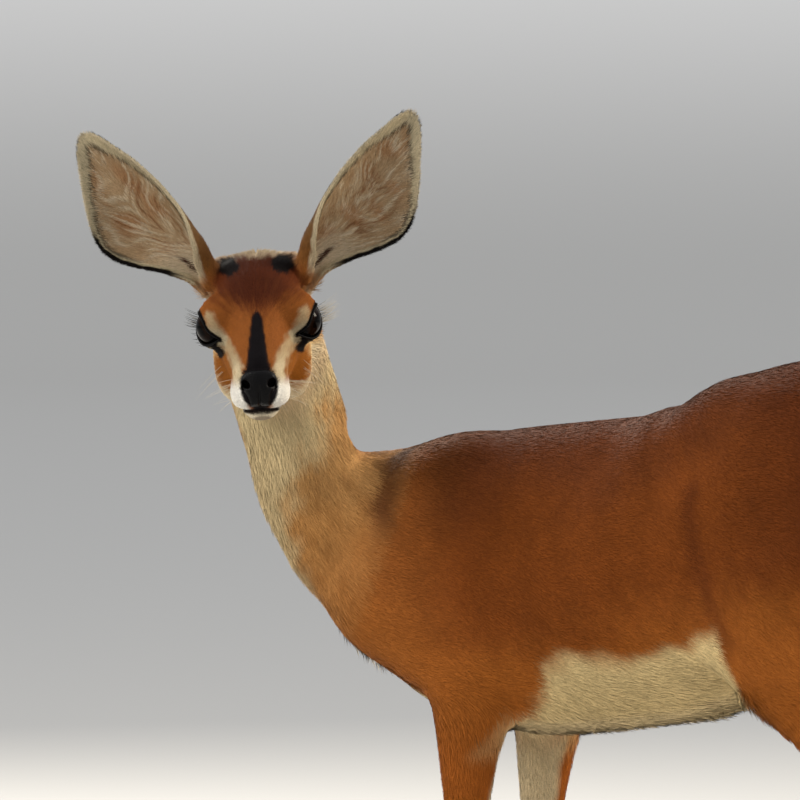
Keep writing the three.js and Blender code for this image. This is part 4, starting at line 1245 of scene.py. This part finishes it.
def coat_material(name, scale, contrast, roughness, bump=0.0, tufted=False):
    material, tree, shader = new_material(name, {"Roughness": roughness, "Specular IOR Level": 0.06})
    grain = tree.nodes.new("ShaderNodeGroup")
    grain.node_tree = GRAIN
    feed(tree, grain, {"Scale": scale, "Contrast": contrast, "Color": painted_colour(tree)})
    feed(tree, shader, {"Base Color": grain.outputs["Color"]})
    if bump:
        relief = {"Strength": bump, "Distance": 0.0006, "Height": grain.outputs["Height"]}
        feed(tree, shader, {"Normal": add_node(tree, "Bump", "Normal", relief)})
    if tufted:
        facing = add_node(tree, "Attribute", "Vector", attribute_name="facing")
        feed(tree, shader, {"Normal": facing})
    return material


def lid_material():
    look = {"Base Color": (*tone("050404"), 1), "Roughness": 0.55, "IOR": 1.15}
    return new_material("lid_skin", look)[0]


def nose_material():
    """Bare black skin with fine cells."""
    look = {"Base Color": (*tone("060506"), 1), "Roughness": 0.4, "IOR": 1.22}
    material, tree, shader = new_material("wet_nose", look)
    place = add_node(tree, "TexCoord", "Object")
    cells = add_node(tree, "TexVoronoi", "Distance", {"Vector": place, "Scale": 900}, feature="SMOOTH_F1")
    relief = {"Strength": 0.5, "Distance": 0.0005, "Height": cells}
    feed(tree, shader, {"Normal": add_node(tree, "Bump", "Normal", relief, invert=True)})
    return material


def hoof_material():
    """Dark horn with rings of growth."""
    material, tree, shader = new_material("hoof_horn", {"Roughness": 0.42, "IOR": 1.5})
    place = add_node(tree, "TexCoord", "Object")
    rings = add_node(tree, "Mapping", "Vector", {"Vector": place, "Scale": (60, 60, 700)})
    noise = add_node(tree, "TexNoise", "Fac", {"Vector": rings, "Scale": 1.0})
    shades = tree.nodes.new("ShaderNodeValToRGB")
    for element, code in zip(shades.color_ramp.elements, ("120f0e", "3a302a")):
        element.color = (*tone(code), 1)
    feed(tree, shades, {"Fac": noise})
    relief = {"Strength": 0.35, "Distance": 0.0004, "Height": noise}
    normal = add_node(tree, "Bump", "Normal", relief)
    feed(tree, shader, {"Base Color": shades.outputs["Color"], "Normal": normal})
    return material


def eye_material():
    material, tree, shader = new_material("eye_gloss", {"Roughness": 0.07, "IOR": 1.13})
    feed(tree, shader, {"Base Color": painted_colour(tree)})
    return material


def dress(obj, material, slot, *nodes):
    obj.data.materials.append(material)
    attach(obj, "root")
    if nodes:
        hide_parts(*nodes)


# Camera, light and floor
VIEW_TURN, VIEW_RISE, VIEW_AWAY = 38.0, 2.0, 6500.0
PIXELS_PER_MM, PICTURE, SENSOR = 1.45, 800, 36.0
VIEW_MIDDLE = (-130.0, 0.0, 510.0)
MIDDLE_PIXEL = (506.0, 437.0)
LIGHTS_AIM = (-0.1, 0, 0.45)


def add_to_scene(name, data):
    obj = bpy.data.objects.new(name, data)
    bpy.context.scene.collection.objects.link(obj)
    return obj


def set_camera():
    az, el = math.radians(VIEW_TURN), math.radians(VIEW_RISE)
    back = np.array((math.sin(az) * math.cos(el), -math.cos(az) * math.cos(el), math.sin(el)))
    right = np.array((math.cos(az), math.sin(az), 0))
    up = np.cross(back, right)
    across, down = ((p - PICTURE / 2) / PIXELS_PER_MM for p in MIDDLE_PIXEL)
    at = np.array(VIEW_MIDDLE) - right * across + up * down + back * VIEW_AWAY
    camera = add_to_scene("camera", bpy.data.cameras.new("camera"))
    camera.data.sensor_width = SENSOR
    camera.data.lens = SENSOR * VIEW_AWAY / (PICTURE / PIXELS_PER_MM)
    camera.data.clip_end = 60
    rows = np.column_stack([right, up, back, at * MM + SHIFT])
    camera.matrix_world = Matrix([*rows.tolist(), [0, 0, 0, 1]])
    bpy.context.scene.camera = camera


def soft_light(name, at, size, power, colour):
    light = bpy.data.lights.new(name, "AREA")
    light.energy, light.size, light.color = power, size, colour
    obj = add_to_scene(name, light)
    obj.location = at
    obj.rotation_euler = (Vector(LIGHTS_AIM) - Vector(at)).to_track_quat("-Z", "Y").to_euler()


def floor_material():
    """Matt pale paint that gives way to an even glow where the floor curves up."""
    look = {"Roughness": 0.9, "Specular IOR Level": 0.0, "Emission Color": (1, 1, 1, 1)}
    material, tree, shader = new_material("studio_paint", look)
    place = add_node(tree, "NewGeometry", "Position")
    height = add_node(tree, "SeparateXYZ", "Z", {"Vector": place})

    def by_height(low, high, at_low, at_high):
        span = {"Value": height, "From Min": low, "From Max": high, "To Min": at_low, "To Max": at_high}
        return add_node(tree, "MapRange", "Result", span, interpolation_type="SMOOTHSTEP")

    paint = {k: by_height(0.2, 1.4, v, 0.0) for k, v in zip(("Red", "Green", "Blue"), tone("c6c5c2"))}
    glow = {0: by_height(0.2, 1.4, 0.0, 1.0), 1: by_height(0.6, 4.2, 0.68, 0.47)}
    feed(tree, shader, {
        "Base Color": add_node(tree, "CombineColor", "Color", paint),
        "Emission Strength": add_node(tree, "Math", 0, glow, operation="MULTIPLY"),
    })
    return material


def studio():
    """A pale floor that curves up far behind the model on every side."""
    flat, bend, high, around = 17.0, 4.0, 9.0, 96
    profile = [(flat / 2, 0.0), (flat, 0.0)]
    for a in np.linspace(0.1, math.pi / 2, 12):
        profile.append((flat + bend * math.sin(a), bend * (1 - math.cos(a))))
    profile.append((flat + bend, high))
    turns = [2 * math.pi * j / around for j in range(around)]
    points = [(0, 0, 0)] + [(r * math.cos(a), r * math.sin(a), z) for r, z in profile for a in turns]
    faces = [(0, 1 + j, 1 + (j + 1) % around) for j in range(around)]
    faces += (between_rings(len(profile), around) + 1).tolist()
    mesh = bpy.data.meshes.new("studio_floor")
    mesh.from_pydata(points, [], faces)
    mesh.polygons.foreach_set("use_smooth", [True] * len(mesh.polygons))
    mesh.materials.append(floor_material())
    add_to_scene("studio_floor", mesh)
    world = bpy.data.worlds.new("studio")
    bpy.context.scene.world = world
    world.use_nodes = True
    sky = {"Color": (0.94, 0.96, 1.0, 1), "Strength": 0.8}
    feed(world.node_tree, world.node_tree.nodes["Background"], sky)
    soft_light("key", (-2.6, -3.6, 3.4), 2.2, 150, (1.0, 0.95, 0.88))
    soft_light("rim_right", (2.6, 2.4, 2.4), 1.2, 150, (1.0, 0.9, 0.74))
    soft_light("rim_left", (-2.8, 1.8, 2.2), 1.2, 90, (1.0, 0.93, 0.82))
    bpy.context.scene.view_settings.view_transform = "Standard"


# The animal put together
set_camera()
studio()
points, faces = sculpt()
points = relax(points, faces, 2, 0.4)
skin = mesh_object("skin", points, faces)
paint_points(skin, marks(survey(points)) * SKIN_SHADE)
flesh = [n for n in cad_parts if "claw" not in n and not n.startswith("eye_") and n != "nose"]
dress(skin, coat_material("short_coat", 1100, 0.28, 0.75, bump=0.5), "body_coat", *flesh)

draw = np.random.default_rng(SEED)
fur = coat_material("fur", 1500, 0.12, 0.7, tufted=True)
normals = normals_of(points, faces)
where = survey(points[faces].mean(1))
dense = 1 / cut(where)[:, :2].prod(1)
x, left, low_down = where["x"], where["y"] < 0, where["z"] < LEG_TOP
key = np.full(len(faces), "rump_right", object)
for name, mask in (
    ("rump_left", left),
    ("barrel_right", x < RUMP_FRONT),
    ("barrel_left", (x < RUMP_FRONT) & left),
    ("chest", x < CHEST_BACK),
    ("leg_front", low_down & (x < BETWEEN_LEGS)),
    ("leg_hind", low_down & (x >= BETWEEN_LEGS)),
    ("neck", where["neck"] > 0.5),
    ("head", where["head"] > 0.5),
    ("ear", where["ear"] > 0.5),
):
    key[mask] = name
pad = np.hypot(where["side"] / (NOSE_WIDE + 1.5), (where["face_high"] + 35) / 13.5) < 1
bare = (where["lid_gap"] < 1.8) | (pad & (where["hx"] > 128)) | (where["z"] < HOOF_CROWN)
for name in sorted(set(key)):
    mine = (key == name) & ~bare
    part, weight = faces[mine], dense[mine]
    a, b, c = (points[part[:, k]] for k in (0, 1, 2))
    area = np.linalg.norm(np.cross(b - a, c - a), axis=1)
    most = MOST_TUFTS.get(name, MOST_ELSEWHERE)
    count = int(min((area * weight).sum() * COVER.get(name, COVER_ELSEWHERE), most))
    root, n = scatter(points, part, normals, weight, count, draw)
    slot = {"head": "head_coat", "ear": "ear_coat"}.get(name, "body_coat")
    dress(grow("coat_" + name, name, survey(root), root, n, draw), fur, slot)

dress(nose_pad(), nose_material(), "nose", "nose")
gloss, rim_skin, lash = eye_material(), lid_material(), coat_material("lash_hair", 1500, 0.05, 0.45)
for name, side in (("left", 1), ("right", -1)):
    dress(eyeball("eye_" + name, side), gloss, "eye", "eye_" + name)
    dress(lid_rim("lid_rim_" + name, side), rim_skin, "nose")
    dress(lashes(name, side, draw), lash, "head_coat")
dress(whiskers(draw), lash, "head_coat")
dress(hooves(), hoof_material(), "hoof_horn", *(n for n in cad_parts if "claw" in n))
